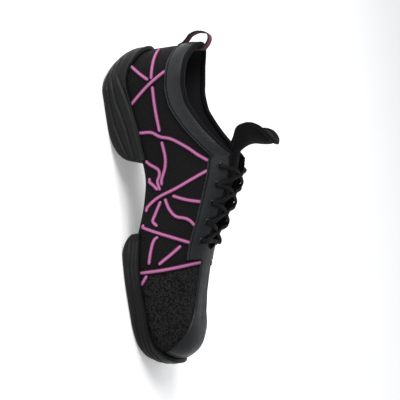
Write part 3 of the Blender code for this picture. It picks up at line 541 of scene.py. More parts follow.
def creases(points):
    # soft troughs across the vamp where the shoe bends, each a gaussian in x, full 20 mm beside the ridge
    x, y = points[..., 0], points[..., 1]
    place = sum(depth * np.exp(-((x - middle - lean * np.abs(y)) / width) ** 2)
                for middle, lean, width, depth in upper["creases"])
    return place * np.clip(np.abs(y) / 0.02, 0.2, 1)


def makeUpper():
    # columns run out from the middle line under the foot, round the feather line by a quarter circle, and up
    # the wall to the edge
    t = np.linspace(0, 2, upper["columns"], endpoint=False)
    plan, normal = ringAt(t, "x", "y")[:, None], ringAt(t, "normalX", "normalY")[:, None]
    roll, feather = last["feather"], ringAt(t, "feather")[:, None]
    centre = ringAt(t, "middleX", "middleY", "middleZ")[:, None]
    brink = np.concatenate([plan - normal * upper["margin"], feather[..., None]], axis=-1)
    share = np.array((0, 0.35, 0.7, 1))[None, :, None]
    turn = np.linspace(0, math.pi / 2, 7)
    curve = plan - normal * roll * (1 - np.sin(turn))[None, :, None]
    curve = np.concatenate([curve, (feather + roll * (1 - np.cos(turn)))[..., None]], axis=-1)
    edge = ringAt(t, "edge")
    wall = wallPoint(t[:, None], edge[:, None] * np.linspace(0, 1, upper["wallRows"])[None, 1:])
    points = np.concatenate([centre + (brink - centre) * share, curve, wall], axis=1)
    sideways = np.roll(points, -1, axis=0) - np.roll(points, 1, axis=0)
    out = unit(np.cross(sideways, np.gradient(points, axis=1)))
    points = points - out * (creases(points) * upper["creaseDepth"])[..., None]
    # both sides meet in the same points along the ridge
    ridge, mirror = edge > math.pi / 2 - 1e-6, -np.arange(len(t))
    points[ridge, -1] = (points[ridge, -1] + points[mirror][ridge, -1]) / 2
    # the ribs lean forwards as they rise, the same on both sides, so length is counted from the heel both ways
    along, across = lengthAlong(plan), lengthAlong(points, 1)
    uv = pairUp(np.minimum(along, along[-1] - along) - upper["ribLean"] * across, across)
    return gridPiece("upperShell", points, finishes["mesh"], uv, True, upper["wall"], finishes["lining"])


finishPiece(makeUpper(), "black_mesh", "upper")
print("upper made")


overlay = {"height": 0.0012, "turn": 0.0012, "rows": 22, "wall": 0.0006, "stripShare": 0.7, "skin": 0.00005,
           "seam": 0.0021, "seamHalf": 0.00042, "seamDepth": 0.7, "seamSwell": 0.25, "edgeHalf": 0.0006,
           "swell": 0.9, "swellFade": 0.012,
           "near": (0, 0.00005, 0.00015, 0.0003, 0.0005, 0.0008, 0.0011, 0.0014, 0.0016, 0.0018, 0.00195, 0.0021,
                    0.00225, 0.0024, 0.0026, 0.0029, 0.0033)}


def overlayGrid(t, low, high, height, swell=0.0):
    # the last's face lifted by the leather's height, rounded down to the face at its cut edges;
    # rows lie at set distances from the cut edge, close together at the seam, and then in even shares
    dense, span = np.linspace(0, 1, 121), (high - low)[:, None]
    run = lengthAlong(wallPoint(t[:, None], low[:, None] + span * dense[None, :]), 1)
    near = np.array([np.interp(np.array(overlay["near"]), one, dense) for one in run])
    rest = near[:, -1:] + (1 - near[:, -1:]) * np.linspace(0, 1, overlay["rows"])[None, 1:]
    point, normal = surfaceAt(t[:, None], low[:, None] + span * np.concatenate([near, rest], axis=1))
    run = lengthAlong(point, 1)
    lift = np.sqrt(1 - (1 - np.clip(run / overlay["turn"], 0, 1)) ** 2)
    # the seam pulls a narrow trough into the leather, and the edge beyond it stands up a little
    standing = np.exp(-((run - overlay["seam"] * 0.5) / overlay["edgeHalf"]) ** 2)
    lift += overlay["seamSwell"] * standing * (run > 0.0001)
    lift -= overlay["seamDepth"] * np.exp(-((run - overlay["seam"]) / overlay["seamHalf"]) ** 2)
    # a padded band swells between its edges, by half a sine over its width
    lift += swell * np.sin(math.pi * run / run[:, -1:])
    face = point + normal * (lift * height + overlay["skin"])[..., None]
    # both sides meet in the same points where the leather runs over the ridge
    ridge = high > math.pi / 2 - 1e-6
    face[ridge, -1] = (face[ridge, -1] + face[::-1][ridge, -1]) / 2
    return face


def makeBand():
    # one horseshoe round the collar and both sides of the throat, padded up to the collar's corner
    span = sideT(last["throatEnd"] + last["bridge"], -1)
    t = np.linspace(-span, span, 381)
    fade = np.clip((last["collarCorner"] - ringAt(t, "x")) / overlay["swellFade"], 0, 1)[:, None]
    points = overlayGrid(t, ringAt(t, "band"), ringAt(t, "edge"), overlay["height"], overlay["swell"] * fade)
    return gridPiece("collarAndEyestay", points, finishes["leather"], wall=overlay["wall"])


def makeStrip():
    # from just under the band's bridge over the toe, widening into the cap
    start = sideT(last["throatEnd"] + last["bridge"] - 0.002, -1)
    t = np.linspace(start, 2 - start, 180)
    high = np.full(len(t), math.pi / 2)
    points = overlayGrid(t, ringAt(t, "strip"), high, overlay["height"] * overlay["stripShare"])
    return gridPiece("toeStrip", points, finishes["leather"], wall=overlay["wall"])


binding = {"collarWidth": 0.0042, "throatWidth": 0.0016, "half": 0.0022, "columns": 240, "sink": 0.0003,
           "above": 0.0006, "cloth": 0.0024, "narrows": (0.090, 0.104)}


def makeBinding():
    # folded tape: a rounded box profile carried round the topline and down both sides of the throat, wide
    # enough to cover both faces of the wall's edge
    heelwards = np.linspace(sideT(last["throatEnd"], 1), 2, binding["columns"], endpoint=False)
    t = np.concatenate([heelwards, np.linspace(0, sideT(last["throatEnd"], -1), binding["columns"])])
    angle = np.minimum(ringAt(t, "edge"), math.pi / 2 - 1e-4)
    point, normal = surfaceAt(t, angle)
    down = unit(surfaceAt(t, angle - 0.02)[0] - point)
    width = np.interp(point[:, 0], binding["narrows"], (binding["collarWidth"], binding["throatWidth"]))
    turn = np.linspace(0, 2 * math.pi, 25)
    across = (np.sign(np.cos(turn)) * np.abs(np.cos(turn)) ** 0.5)[None, :, None] * binding["half"]
    high = (np.sign(np.sin(turn)) * np.abs(np.sin(turn)) ** 0.7)[None, :, None] * (width[:, None, None] / 2)
    centre = point - normal * binding["sink"] + down * (width / 2 - binding["above"])[:, None]
    grid = centre[:, None] + normal[:, None] * across - down[:, None] * high
    uv = pairUp(lengthAlong(centre)[:, None], (turn * binding["cloth"])[None, :])
    return gridPiece("toplineBinding", grid, finishes["binding"], uv)


finishPiece(makeBand(), "black_leather", "collar_band")
finishPiece(makeStrip(), "black_leather", "toe_strip")
finishPiece(makeBinding(), "black_padding")
print("leather laid on")


soles = {"flare": 0.0040, "rim": 0.0024, "gap": 0.0003, "rows": 64, "lip": 0.0008, "lipAt": 0.06,
         "lipHalf": 0.035, "edge": 0.045, "grooveDepth": 0.0012, "grooveHalf": 0.0013, "grooveFade": 0.006,
         "treadDepth": 0.0014, "treadHalf": 0.0010, "slack": 0.0004, "heelTuck": 0.020, "toeTuck": 0.007,
         "tuckFrom": 0.25, "tuckPower": 1.6}
# how far the side stands out, by its height from rim to tread
lastRows["sideOut"] = ((0, 0.0), (0.10, 0.62), (0.22, 0.90), (0.36, 1.02), (0.46, 1.04), (0.58, 1.02),
                       (0.68, 0.94), (0.82, 0.70), (0.93, 0.15), (1.0, -0.85))
# a groove is a line of x and z along the side, and a bar is a cut across the tread
heelBlock = {
    "tread": "heelTread", "size": last["heelRim"], "bars": 0.042 + 0.0115 * (np.arange(4) - 1.5),
    "grooves": (
        ((0.009, 0.0085), (0.024, 0.0058), (0.042, 0.0054), (0.060, 0.0070), (0.077, 0.0110), (0.092, 0.0150)),
        ((0.006, 0.0130), (0.020, 0.0096), (0.042, 0.0112), (0.053, 0.0138), (0.065, 0.0160), (0.092, 0.0190)),
        ((0.003, 0.0200), (0.018, 0.0142), (0.034, 0.0185), (0.047, 0.0215), (0.060, 0.0235), (0.092, 0.0265)),
    ),
}
forefootBlock = {
    "tread": "forefootTread", "size": last["forefootRim"], "bars": 0.203 + 0.0115 * (np.arange(6) - 2.5),
    "grooves": (
        ((0.150, 0.0100), (0.175, 0.0054), (0.240, 0.0051), (0.252, 0.0080)),
        ((0.150, 0.0125), (0.175, 0.0088), (0.240, 0.0086), (0.252, 0.0125)),
        ((0.150, 0.0150), (0.175, 0.0118), (0.240, 0.0115), (0.252, 0.0170)),
    ),
}


def tuckedIn(share):
    # how much a block's foot draws in towards its round end: a sine that starts without a kink
    return np.sin(np.clip(share, 0, 1) * math.pi / 2) ** 1.3


def makeSole(name, t, block, tuck):
    # rows run under the foot and up the wall, over the cup's lip, down the side and under to the middle of the
    # tread; the side stands off the wall by the table, less a gaussian at each groove and the tuck at its foot
    x, middle, slack = ringAt(t, "x"), ringAt(t, "middleX", "middleY"), soles["slack"]
    treadZ, middleZ = (block["size"] * smoothCurve(block["tread"], one / last["length"])
                       for one in (x, middle[:, 0]))
    rimZ, floorZ, normal = rimHeight(x), ringAt(t, "feather"), ringAt(t, "normalX", "normalY")
    s = np.linspace(0, 1, soles["rows"])[None, :]
    lip = soles["lip"] * np.exp(-((s - soles["lipAt"]) / soles["lipHalf"]) ** 2)
    out = soles["gap"] + soles["rim"] + (soles["flare"] - soles["rim"]) * smoothCurve("sideOut", s) + lip
    rounding = 1 - np.clip(s / soles["edge"], 0, 1)
    out = out * np.sqrt(1 - rounding ** 2) - slack * rounding
    height = rimZ[:, None] + (treadZ - rimZ)[:, None] * s
    for line in block["grooves"]:
        xs, zs = np.array(line).T
        near = np.exp(-((height - np.interp(x[:, None], xs, zs)) / soles["grooveHalf"]) ** 2)
        out = out - soles["grooveDepth"] * near * np.clip((x[:, None] - xs[0]) / soles["grooveFade"], 0, 1)
    out = out - tuck[:, None] * np.maximum(s - soles["tuckFrom"], 0) ** soles["tuckPower"]
    top, foot = wallPoint(t, ringAt(t, "rim"))[:, :2], ringAt(t, "x", "y")
    side = np.concatenate([top[:, None] + normal[:, None] * out[..., None], height[..., None]], axis=-1)
    bed = np.stack([np.column_stack([middle, ringAt(t, "middleZ") - slack]),
                    np.column_stack([foot - normal * last["feather"], floorZ - slack]),
                    np.column_stack([foot - normal * slack, floorZ + last["feather"]])], axis=1)
    share = np.concatenate([[0.004, 0.015, 0.03], np.linspace(0.06, 1, 22)])[None, :, None]
    under = side[:, -1:] + (np.column_stack([middle, middleZ])[:, None] - side[:, -1:]) * share
    for bar in block["bars"]:
        cut = np.clip(1.4 - np.abs(under[..., 0] - bar) / soles["treadHalf"], 0, 1)
        under[..., 2] += soles["treadDepth"] * cut * np.clip(share[..., 0] / 0.03, 0, 1)
    return gridPiece(name, np.concatenate([bed, side, under], axis=1), finishes["rubber"])


span, start = sideT(last["heelBlock"], -1), sideT(last["forefootBlock"], -1)
heelT, forefootT = np.linspace(-span, span, 360), np.linspace(start, 2 - start, 420)
heelTuck = soles["heelTuck"] * tuckedIn(1 - ringAt(heelT, "x") / last["heelRound"])
toeTuck = soles["toeTuck"] * tuckedIn(1 - (last["length"] - ringAt(forefootT, "x")) / last["toeRound"])
finishPiece(makeSole("heelSole", heelT, heelBlock, heelTuck), "black_rubber", "heel_sole")
finishPiece(makeSole("forefootSole", forefootT, forefootBlock, toeTuck), "black_rubber", "forefoot_sole")
print("sole blocks made")


insole = {"inset": 0.0046, "margin": 0.0074, "low": 0.0026, "high": 0.0056, "round": 0.0012}


def makeInsole():
    # a flat sock drawn in from the wall, with its upper edge rolled by a quarter circle
    t = np.linspace(0, 2, 260, endpoint=False)
    normal, middle = ringAt(t, "normalX", "normalY"), ringAt(t, "middleX", "middleY")
    feather, middleZ = ringAt(t, "feather"), ringAt(t, "middleZ")
    edge = ringAt(t, "x", "y") - normal * insole["inset"]
    margin = edge - normal * insole["margin"]
    low, high = insole["low"], insole["high"]
    rows = [(middle, middleZ + low), (margin, feather + low), (edge, feather + low)]
    for turn in np.linspace(0, math.pi / 2, 6):
        inset, drop = insole["round"] * (1 - math.cos(turn)), insole["round"] * (1 - math.sin(turn))
        rows.append((edge - normal * inset, feather + high - drop))
    for share in (0, 0.3, 0.6, 1):
        height = feather + (middleZ - feather) * share + high
        rows.append((margin + (middle - margin) * share, height))
    points = np.stack([np.column_stack(row) for row in rows], axis=1)
    return gridPiece("sockLining", points, finishes["lining"], closed=True)


finishPiece(makeInsole(), "grey_lining", "insole")


# a row of the free pad is its place ahead and up in shares of free, its lean in degrees and its width's share;
# fill is the pad's half thickness by height over the top of the throat
tongue = {
    "reach": 0.180, "throatHalf": 0.0180, "tailHalf": 0.0150, "halfWidth": 0.031, "free": 0.030, "wrap": 0.46,
    "sheetHalf": 0.034, "gap": 0.0033, "round": 2.8, "bead": 0.0015, "beadShare": 0.85,
    "fillFrom": 0.0036, "fillOver": 0.010,
    "seam": 0.0038, "seamHalf": 0.0008, "seamDepth": 0.0006, "throatRows": 9, "widest": 12,
    "rows": ((-0.09, 0.03, 22, 0.52), (-0.18, 0.20, 42, 0.67), (-0.19, 0.37, 62, 0.92), (-0.14, 0.55, 75, 1.00),
             (-0.08, 0.69, 83, 1.00), (-0.03, 0.80, 87, 1.00), (0.02, 0.91, 90, 1.00)),
    "fill": ((-0.002, 0.0023), (0.006, 0.0026), (0.011, 0.0034), (0.0165, 0.0039)),
}


faceSpan = {"x": (0.094, 0.186), "run": 0.045, "lowest": 0.25}


def makeFaceTable():
    # points of the last over the throat, by x and by the run down from the ridge, lateral side positive
    xs, runs = np.linspace(*faceSpan["x"], 93), np.linspace(-faceSpan["run"], faceSpan["run"], 121)
    table = np.zeros((len(xs), len(runs), 3))
    angles = np.linspace(math.pi / 2, faceSpan["lowest"], 160)
    for side in (-1, 1):
        line = wallPoint(sideT(xs, side)[:, None], angles[None, :])
        length = lengthAlong(line, 1)
        here = runs * side >= 0
        for k in range(3):
            rows = zip(length, line[..., k])
            table[:, here, k] = [np.interp(np.abs(runs[here]), run, value) for run, value in rows]
    normals = unit(np.cross(np.gradient(table, axis=0), np.gradient(table, axis=1)))
    return xs, runs, table, normals


faceX, faceRun, faceTable, faceNormal = makeFaceTable()


def lookUp(data, i, j):
    # bilinear value of a grid at fractional rows i and columns j
    i0, j0 = np.minimum(i.astype(int), len(data) - 2), np.minimum(j.astype(int), data.shape[1] - 2)
    u, v = (i - i0)[..., None], (j - j0)[..., None]
    near = data[i0, j0] * (1 - v) + data[i0, j0 + 1] * v
    far = data[i0 + 1, j0] * (1 - v) + data[i0 + 1, j0 + 1] * v
    return near * (1 - u) + far * u


def faceAt(x, run):
    # a point over the throat and its normal
    x, run = np.broadcast_arrays(np.asarray(x, float), np.asarray(run, float))
    i = np.clip((x - faceX[0]) / (faceX[1] - faceX[0]), 0, len(faceX) - 1.001)
    j = np.clip((run - faceRun[0]) / (faceRun[1] - faceRun[0]), 0, len(faceRun) - 1.001)
    return lookUp(faceTable, i, j), unit(lookUp(faceNormal, i, j))


def tongueSheet():
    # the pad's middle sheet over its whole width: on the last's face in the throat, then free and bent
    # round the shin by a parabola across its width
    runs = np.linspace(-tongue["sheetHalf"], tongue["sheetHalf"], 69)
    middle = len(runs) // 2
    rows, halves = [], []
    for x in np.linspace(tongue["reach"], last["collarCorner"] + 0.002, tongue["throatRows"]):
        widening = min((tongue["reach"] - x) / (tongue["reach"] - 0.15), 1)
        halves.append(tongue["tailHalf"] + (tongue["throatHalf"] - tongue["tailHalf"]) * widening)
        rows.append(faceAt(x, runs)[0])
    start = rows[-1][middle]
    for ahead, up, lean, width in tongue["rows"]:
        centre = start + np.array([ahead, 0, up]) * tongue["free"]
        turn = math.radians(lean)
        back = np.array([-math.sin(turn), 0, -math.cos(turn)]) * tongue["wrap"] * tongue["halfWidth"]
        spread = np.stack([0 * runs, runs, 0 * runs], axis=1)
        halves.append(tongue["halfWidth"] * width)
        rows.append(centre + spread + back * ((runs / tongue["halfWidth"]) ** 2)[:, None])
    sheet = smoothPath(np.array(rows), 300)
    knots = np.linalg.norm(sheet[:, None, middle] - np.array(rows)[None, :, middle], axis=2).argmin(axis=0)
    return runs, sheet, knots, np.array(halves), start


def makeTongue():
    # the outline follows the halves up to the widest row, then closes like a superellipse round the tip
    runs, sheet, knots, halves, start = tongueSheet()
    normal = unit(np.cross(np.gradient(sheet, axis=1), np.gradient(sheet, axis=0)))
    count = tongue["widest"] + 1
    wide, tip, power = knots[tongue["widest"]], knots[-1], 2 / tongue["round"]
    turn = np.linspace(0, math.pi / 2, 60)[1:]
    line = smoothPath(np.column_stack([knots[:count], halves[:count]]), 130)
    place = np.concatenate([line[:, 0], wide + (tip - wide) * np.sin(turn) ** power])
    half = np.concatenate([line[:, 1], halves[count - 1] * np.cos(turn).clip(0) ** power])
    across = np.sin(np.linspace(-1, 1, 57) * math.pi / 2)
    i, j = np.broadcast_arrays(place[:, None], (across * half[:, None] - runs[0]) / (runs[1] - runs[0]))
    grid, out = lookUp(sheet, i, j), lookUp(normal, i, j)
    # the distance to the nearest point of the outline shapes the pad: bead, seam trough, then the filled middle
    border, flat = np.concatenate([grid[:, 0], grid[:, -1], grid[0]]), grid.reshape(-1, 3)
    squares = (flat ** 2).sum(1)[:, None] + (border ** 2).sum(1)[None] - 2 * flat @ border.T
    inset = np.sqrt(np.maximum(squares, 0)).min(axis=1).reshape(grid.shape[:2])
    inset[:, 0] = inset[:, -1] = inset[0] = inset[-1] = 0
    fill = np.interp(grid[:, len(across) // 2, 2] - start[2], *np.array(tongue["fill"]).T)[:, None]
    bead = np.sqrt(1 - (1 - np.clip(inset / tongue["bead"], 0, 1)) ** 2)
    filled = np.sin(np.clip((inset - tongue["fillFrom"]) / tongue["fillOver"], 0, 1) * math.pi / 2)
    seam = np.exp(-((inset - tongue["seam"]) / tongue["seamHalf"]) ** 2)
    rim = tongue["bead"] * tongue["beadShare"]
    thick = rim * bead + (fill - rim) * filled - tongue["seamDepth"] * seam * bead
    middle = grid - out * (tongue["gap"] + fill)[..., None]
    front, back = middle + out * thick[..., None], middle - out * thick[..., None]
    loop = np.concatenate([front, back[:, ::-1], front[:, :1]], axis=1)
    return gridPiece("tonguePad", loop, finishes["padding"])


tonguePad = makeTongue()
finishPiece(tonguePad, "black_padding", "tongue")
print("tongue made")


# the pull loop's rows are its line back and up from the topline's edge, in shares of its height
pull = {"height": 0.026, "width": 0.011, "thick": 0.0011, "outer": -0.0022, "inner": 0.0037, "tail": 0.45,
        "corner": 0.35,
        "rows": ((-0.06, -0.76), (-0.03, -0.68), (0.00, -0.60), (0.10, -0.48), (0.24, -0.33), (0.31, -0.10),
                 (0.27, 0.10), (0.18, 0.22), (0.06, 0.24), (-0.08, 0.17))}
seamRibbon = {"turn": 0.01875, "low": 0.036, "high": 0.0635, "lift": 0.0007, "skin": 0.00002, "wall": 0.0005}


def makeLoop():
    # a flat superellipse profile carried along the loop's line, which leans with the back of the last
    heel = np.array([0.0])
    top = wallPoint(heel, ringAt(heel, "edge"))[0, 2]
    path = [(pull["outer"] - back * pull["height"], top + up * pull["height"]) for back, up in pull["rows"]]
    path += [(pull["inner"], top - pull["tail"] * pull["height"] * share) for share in (0.0, 0.5, 1.0)]
    heights = np.linspace(0.04, top, 40)
    line = smoothPath(np.array(path), 120)
    lean = wallPoint(0 * heights, angleAtHeight(0 * heights, heights))[:, 0]
    line[:, 0] += np.interp(line[:, 1], heights, lean)
    points = np.stack([line[:, 0], 0 * line[:, 0], line[:, 1]], axis=1)
    side = np.array([0, 1.0, 0])
    out = np.cross(side[None, :], unit(np.gradient(points, axis=0)))
    turn = np.linspace(0, 2 * math.pi, 49)
    wide = np.sign(np.cos(turn)) * np.abs(np.cos(turn)) ** pull["corner"] * pull["width"] / 2
    thick = np.sign(np.sin(turn)) * np.abs(np.sin(turn)) ** pull["corner"] * pull["thick"] / 2
    grid = points[:, None] + side * wide[None, :, None] + out[:, None] * thick[None, :, None]
    uv = pairUp(lengthAlong(points)[:, None], (wide / pull["width"] + 0.5)[None, :])
    return gridPiece("heelPullLoop", grid, finishes["ribbon"], uv)


def makeHeelRibbon():
    # the same ribbon sewn flat down the back seam, from under the band to the rubber cup, its edges rounded
    # down by an eighth power
    y = np.linspace(-1, 1, 21)
    z = np.linspace(seamRibbon["low"], seamRibbon["high"], 60)[None, :]
    t = np.mod(-y * seamRibbon["turn"], 2)[:, None]
    point, normal = surfaceAt(t, angleAtHeight(t, z))
    lift = seamRibbon["lift"] * np.sqrt(np.clip(1 - np.abs(y) ** 8, 0, 1)) + seamRibbon["skin"]
    sheet = (point + normal * lift[:, None, None])[::-1]
    uv = pairUp(z, (y / 2 + 0.5)[:, None])[::-1]
    return gridPiece("heelSeamRibbon", sheet, finishes["ribbon"], uv, wall=seamRibbon["wall"])


finishPiece(makeLoop(), "raspberry_ribbon", "pull_loop")
finishPiece(makeHeelRibbon(), "raspberry_ribbon")


# an eyelet's profile is its radius and its height over the last's face
lacing = {"count": 5, "first": 0.106, "pitch": 0.0140, "inset": 0.0080, "half": 0.0017, "flat": 0.72,
          "lift": 0.0013, "rise": 0.0018, "edgeRise": 0.0006, "over": 0.0011, "under": -0.0007, "dive": 0.0035,
          "bedShare": 0.6, "edgeOver": 0.2, "crossHalf": 0.16, "diveFrom": 0.90, "diveOver": 0.10,
          "profile": ((0.0014, -0.0018), (0.0014, 0.0012), (0.00155, 0.0019), (0.0021, 0.0023), (0.0027, 0.0020),
                      (0.0031, 0.0014), (0.0031, 0.0011), (0.0020, 0.0009), (0.0019, -0.0018), (0.0014, -0.0018))}


def eyeletSpots():
    # x and run of each side's eyelets: the throat's half gap, measured along the face, plus the inset
    x = lacing["first"] + lacing["pitch"] * np.arange(lacing["count"])
    gap = last["throatHalf"] * smoothCurve("throat", x / last["length"])
    ridge = last["ballWidth"] * smoothCurve("ridgeSide", x / last["length"])
    runs, spots = np.linspace(0, 0.03, 61), {}
    for side in (-1, 1):
        reach = np.abs(faceAt(x[:, None], side * runs)[0][..., 1] - ridge[:, None])
        edge = np.array([np.interp(*one, runs) for one in zip(gap, reach)])
        spots[side] = np.column_stack([x, side * (edge + lacing["inset"])])
    return spots


spots = eyeletSpots()


def makeEyelets():
    # a rolled flange: its profile of radius and height is turned round the face's normal
    profile, pieces = np.array(lacing["profile"]), []
    turn = np.linspace(0, 2 * math.pi, 33)[:, None]
    for x, run in np.concatenate([spots[-1], spots[1]]):
        centre, normal = faceAt(x, run)
        ahead = unit(np.cross(np.array([0, 1.0, 0]), normal))
        spoke = ahead * np.cos(turn) + np.cross(normal, ahead) * np.sin(turn)
        grid = centre + spoke[:, None] * profile[None, :, 0, None] + normal * profile[None, :, 1, None]
        pieces.append(gridPiece("eyelet", grid, finishes["enamel"]))
    return joinPieces("eyelets", pieces)


def lacePath(start, end, under):
    # out of one eyelet, tight across the throat over the tongue, and down into the other eyelet; where two runs
    # cross in the middle, a gaussian lifts one and lowers the other
    share = np.linspace(0, 1, 41)
    out = np.abs(2 * share - 1)
    lift = (lacing["lift"] + lacing["rise"] * np.minimum(out / lacing["bedShare"], 1) ** 2
            + lacing["edgeRise"] * np.clip((out - lacing["bedShare"]) / lacing["edgeOver"], 0, 1))
    lift = lift + lacing["under" if under else "over"] * np.exp(-(out / lacing["crossHalf"]) ** 2)
    dive = np.clip((out - lacing["diveFrom"]) / lacing["diveOver"], 0, 1) ** 1.6
    lift = lift * (1 - dive) - lacing["dive"] * dive
    ease = np.clip(share / 0.96 - 0.02, 0, 1)[:, None]
    point, normal = faceAt(*(start + (end - start) * ease).T)
    return smoothPath(point + normal * lift[:, None], 70), normal[np.linspace(0, 40, 70).astype(int)]


def makeLaces():
    # the bar over the bottom pair, and for each crossing two runs, the second of them on top
    medial, lateral = spots[-1], spots[1]
    runs, pieces = [(medial[-1], lateral[-1], False)], []
    for n in range(lacing["count"] - 1):
        runs += [(lateral[n + 1], medial[n], True), (medial[n + 1], lateral[n], False)]
    for start, end, under in runs:
        grid, uv = tubeGrid(*lacePath(start, end, under), lacing["half"], lacing["flat"], around=14)
        pieces.append(gridPiece("lace", grid, finishes["lace"], uv))
    return joinPieces("laceRun", pieces)


finishPiece(makeEyelets(), "black_eyelets",
            *[f"eyelet_{side}_{n}" for side in ("medial", "lateral") for n in range(1, 6)])
finishPiece(makeLaces(), "black_cord", "lace_bar", *[f"lace_crossing_{n}" for n in range(1, 5)])
print("eyelets and laces made")


cord = {"half": 0.0018, "flat": 0.42, "lift": 0.0004, "sink": 0.0012, "over": 0.0004, "overReach": 0.0030,
        "hidden": 0.035, "shift": 0.003, "sinkOver": 0.03}
# each row is a cord's line in side view, x from the heel's back and z over the floor in millimetres;
# the cords marked over lie on the others
cordLines = (
    (False, ((5.5, 46.8), (17, 44.4), (31.8, 41.8))),
    (False, ((15.8, 23.6), (25.5, 32.5), (32.1, 39.4))),
    (True, ((25.0, 57.5), (35.4, 39.8), (44.0, 28.3), (51.0, 19.8))),
    (False, ((37.4, 41.9), (55.3, 41.4), (74.8, 42.1))),
    (True, ((72.4, 22.5), (72.9, 28), (74, 35.3), (78.6, 42.1), (82, 50.7), (90.3, 61.6), (98, 69.6),
            (104.5, 77.5))),
    (False, ((82.3, 42.5), (95, 43.3), (103.7, 41.7), (112.2, 37.9), (117.2, 37.2))),
    (False, ((94.6, 26.3), (98.6, 29.6), (103.9, 35.9), (108.6, 36.4), (113.6, 34.2), (121, 35.4))),
    (False, ((109.2, 23.6), (115, 29.6), (120.4, 33.6))),
    (True, ((109.8, 77.5), (116.1, 61.6), (121.4, 48.1), (125.8, 34.2), (130.2, 26.4), (136.4, 19.5))),
    (False, ((126.6, 44.6), (131.8, 55.8), (136, 70))),
    (False, ((129.3, 35.0), (139.5, 29.4), (144.6, 27.2), (149.2, 30.6))),
    (False, ((127.7, 38.5), (136.7, 41), (143.4, 45.7), (146.4, 53.2), (150.4, 57.2), (158, 60))),
    (True, ((145.5, 15.5), (149, 20), (154.2, 30), (160, 42), (167, 56))),
    (False, ((157.2, 30.4), (160.2, 26.6), (168, 23.6), (178.2, 21.0))),
    (False, ((186.2, 18.6), (193.5, 12.5))),
    (False, ((166.8, 46.6), (172.5, 39), (179.4, 28.4))),
    (True, ((181, 59), (183.2, 44), (184, 30), (183.6, 12.5))),
)


def makeCords():
    # each line is laid on the last at its x and z, and a flat oval is carried along it, lifted where it crosses
    # another cord
    lines = []
    for over, line in cordLines:
        path = smoothPath(np.array(line) / 1000, 90)
        x, z = path[:, 0] - cord["shift"], path[:, 1]
        for side in (-1, 1):
            t = sideT(x, side)
            angle = angleAtHeight(t, z)
            # the ends slip under the leather's edge and behind the rubber rim, and the rest is cut off
            bridged = x > last["throatEnd"] + last["bridge"]
            cover = np.where(bridged, ringAt(t, "strip"), ringAt(t, "band"))
            rim = np.where((x < last["heelBlock"]) | (x > last["forefootBlock"]), ringAt(t, "rim"), -1)
            keep = np.maximum(angle - cover, rim - angle) < cord["hidden"]
            point, normal = surfaceAt(t[keep], angle[keep])
            sink = np.clip((angle - cover)[keep] / cord["sinkOver"] + 0.5, 0, 1) ** 2
            lines.append((over, point, normal, sink))
    under = np.concatenate([point for over, point, _, _ in lines if not over])
    pieces = []
    for over, point, normal, sink in lines:
        lift = np.full(len(point), cord["lift"])
        if over:
            near = np.linalg.norm(point[:, None] - under[None], axis=2).min(axis=1)
            lift += cord["over"] * np.exp(-(near / cord["overReach"]) ** 2)
        lift -= cord["sink"] * sink
        grid, uv = tubeGrid(point + normal * lift[:, None], normal, cord["half"], cord["flat"], around=18)
        pieces.append(gridPiece("cord", grid, finishes["cord"], uv))
    return joinPieces("sewnCords", pieces)


finishPiece(makeCords(), "raspberry_ribbon")
print("cords laid on")


stitch = {"length": 0.0022, "gap": 0.0008, "radius": 0.00024, "dip": 0.0003, "stripEnd": 0.2335,
          "bandLift": 0.5, "stripLift": 0.36, "clear": 0.0001}


def stitchRow(name, path, normal):
    # short threads laid end to end along a line, each a slim spindle that dips in at both ends, with six points
    # along it and six round it
    run, share = lengthAlong(path), np.linspace(0, 1, 6)
    starts = np.arange(0, run[-1] - stitch["length"], stitch["length"] + stitch["gap"])
    places = starts[:, None] + share[None, :] * stitch["length"]
    line, up = (np.stack([np.interp(places, run, column) for column in data.T], axis=-1)
                for data in (path, normal))
    across = np.cross(up, np.broadcast_to(unit(line[:, -1:] - line[:, :1]), line.shape))[:, :, None]
    turn = np.linspace(0, 2 * math.pi, 7)[:-1]
    size = stitch["radius"] * np.sqrt(np.clip(1 - (2 * share - 1) ** 4, 0, 1))
    dip = (np.sqrt(np.clip(1 - (2 * share - 1) ** 2, 0, 1)) - 0.6) * stitch["dip"]
    centre = line + up * dip[None, :, None]
    spokes = across * np.cos(turn)[:, None] + up[:, :, None] * np.sin(turn)[:, None]
    points = centre[:, :, None] + spokes * size[None, :, None, None]
    n, i, j = np.meshgrid(np.arange(len(starts)), np.arange(5), np.arange(6), indexing="ij")
    a, b = n * 36 + i * 6 + j, n * 36 + i * 6 + (j + 1) % 6
    quads = np.stack([a, a + 6, b + 6, b], axis=-1).reshape(-1, 4)
    uv = pairUp(places[:, :, None], (turn / (2 * math.pi))[None, None, :])
    return meshPiece(name, points, quads, uv, finishes["thread"], doubles=1e-6)


def makeStitches():
    # a row inside the band's lower edge all the way round, and one along each edge of the strip
    end = last["throatEnd"] + last["bridge"]
    band, start = sideT(end - 0.001, -1), sideT(end + 0.002, -1)
    t = np.concatenate([np.linspace(2 - band, 2, 400, endpoint=False), np.linspace(0, band, 400)])
    angle = ringAt(t, "band") + (ringAt(t, "edge") - ringAt(t, "band")) * overlay["seam"] / last["bandWidth"]
    lift = np.full(len(t), overlay["height"] * stitch["bandLift"] + stitch["clear"])
    rows = [stitchRow("bandStitch", *surfaceAt(t, angle, lift))]
    forwards = np.linspace(start, sideT(stitch["stripEnd"], -1), 200)
    for t in (forwards, 2 - forwards):
        width = last["stripWidth"] * smoothCurve("strip", ringAt(t, "x") / last["length"])
        angle = angleBelow(t, np.full(len(t), math.pi / 2), width - overlay["seam"])
        lift = np.full(len(t), overlay["height"] * stitch["stripLift"] + stitch["clear"])
        rows.append(stitchRow("stripStitch", *surfaceAt(t, angle, lift)))
    return joinPieces("stitching", rows)


finishPiece(makeStitches(), "black_padding")
print("stitching made")


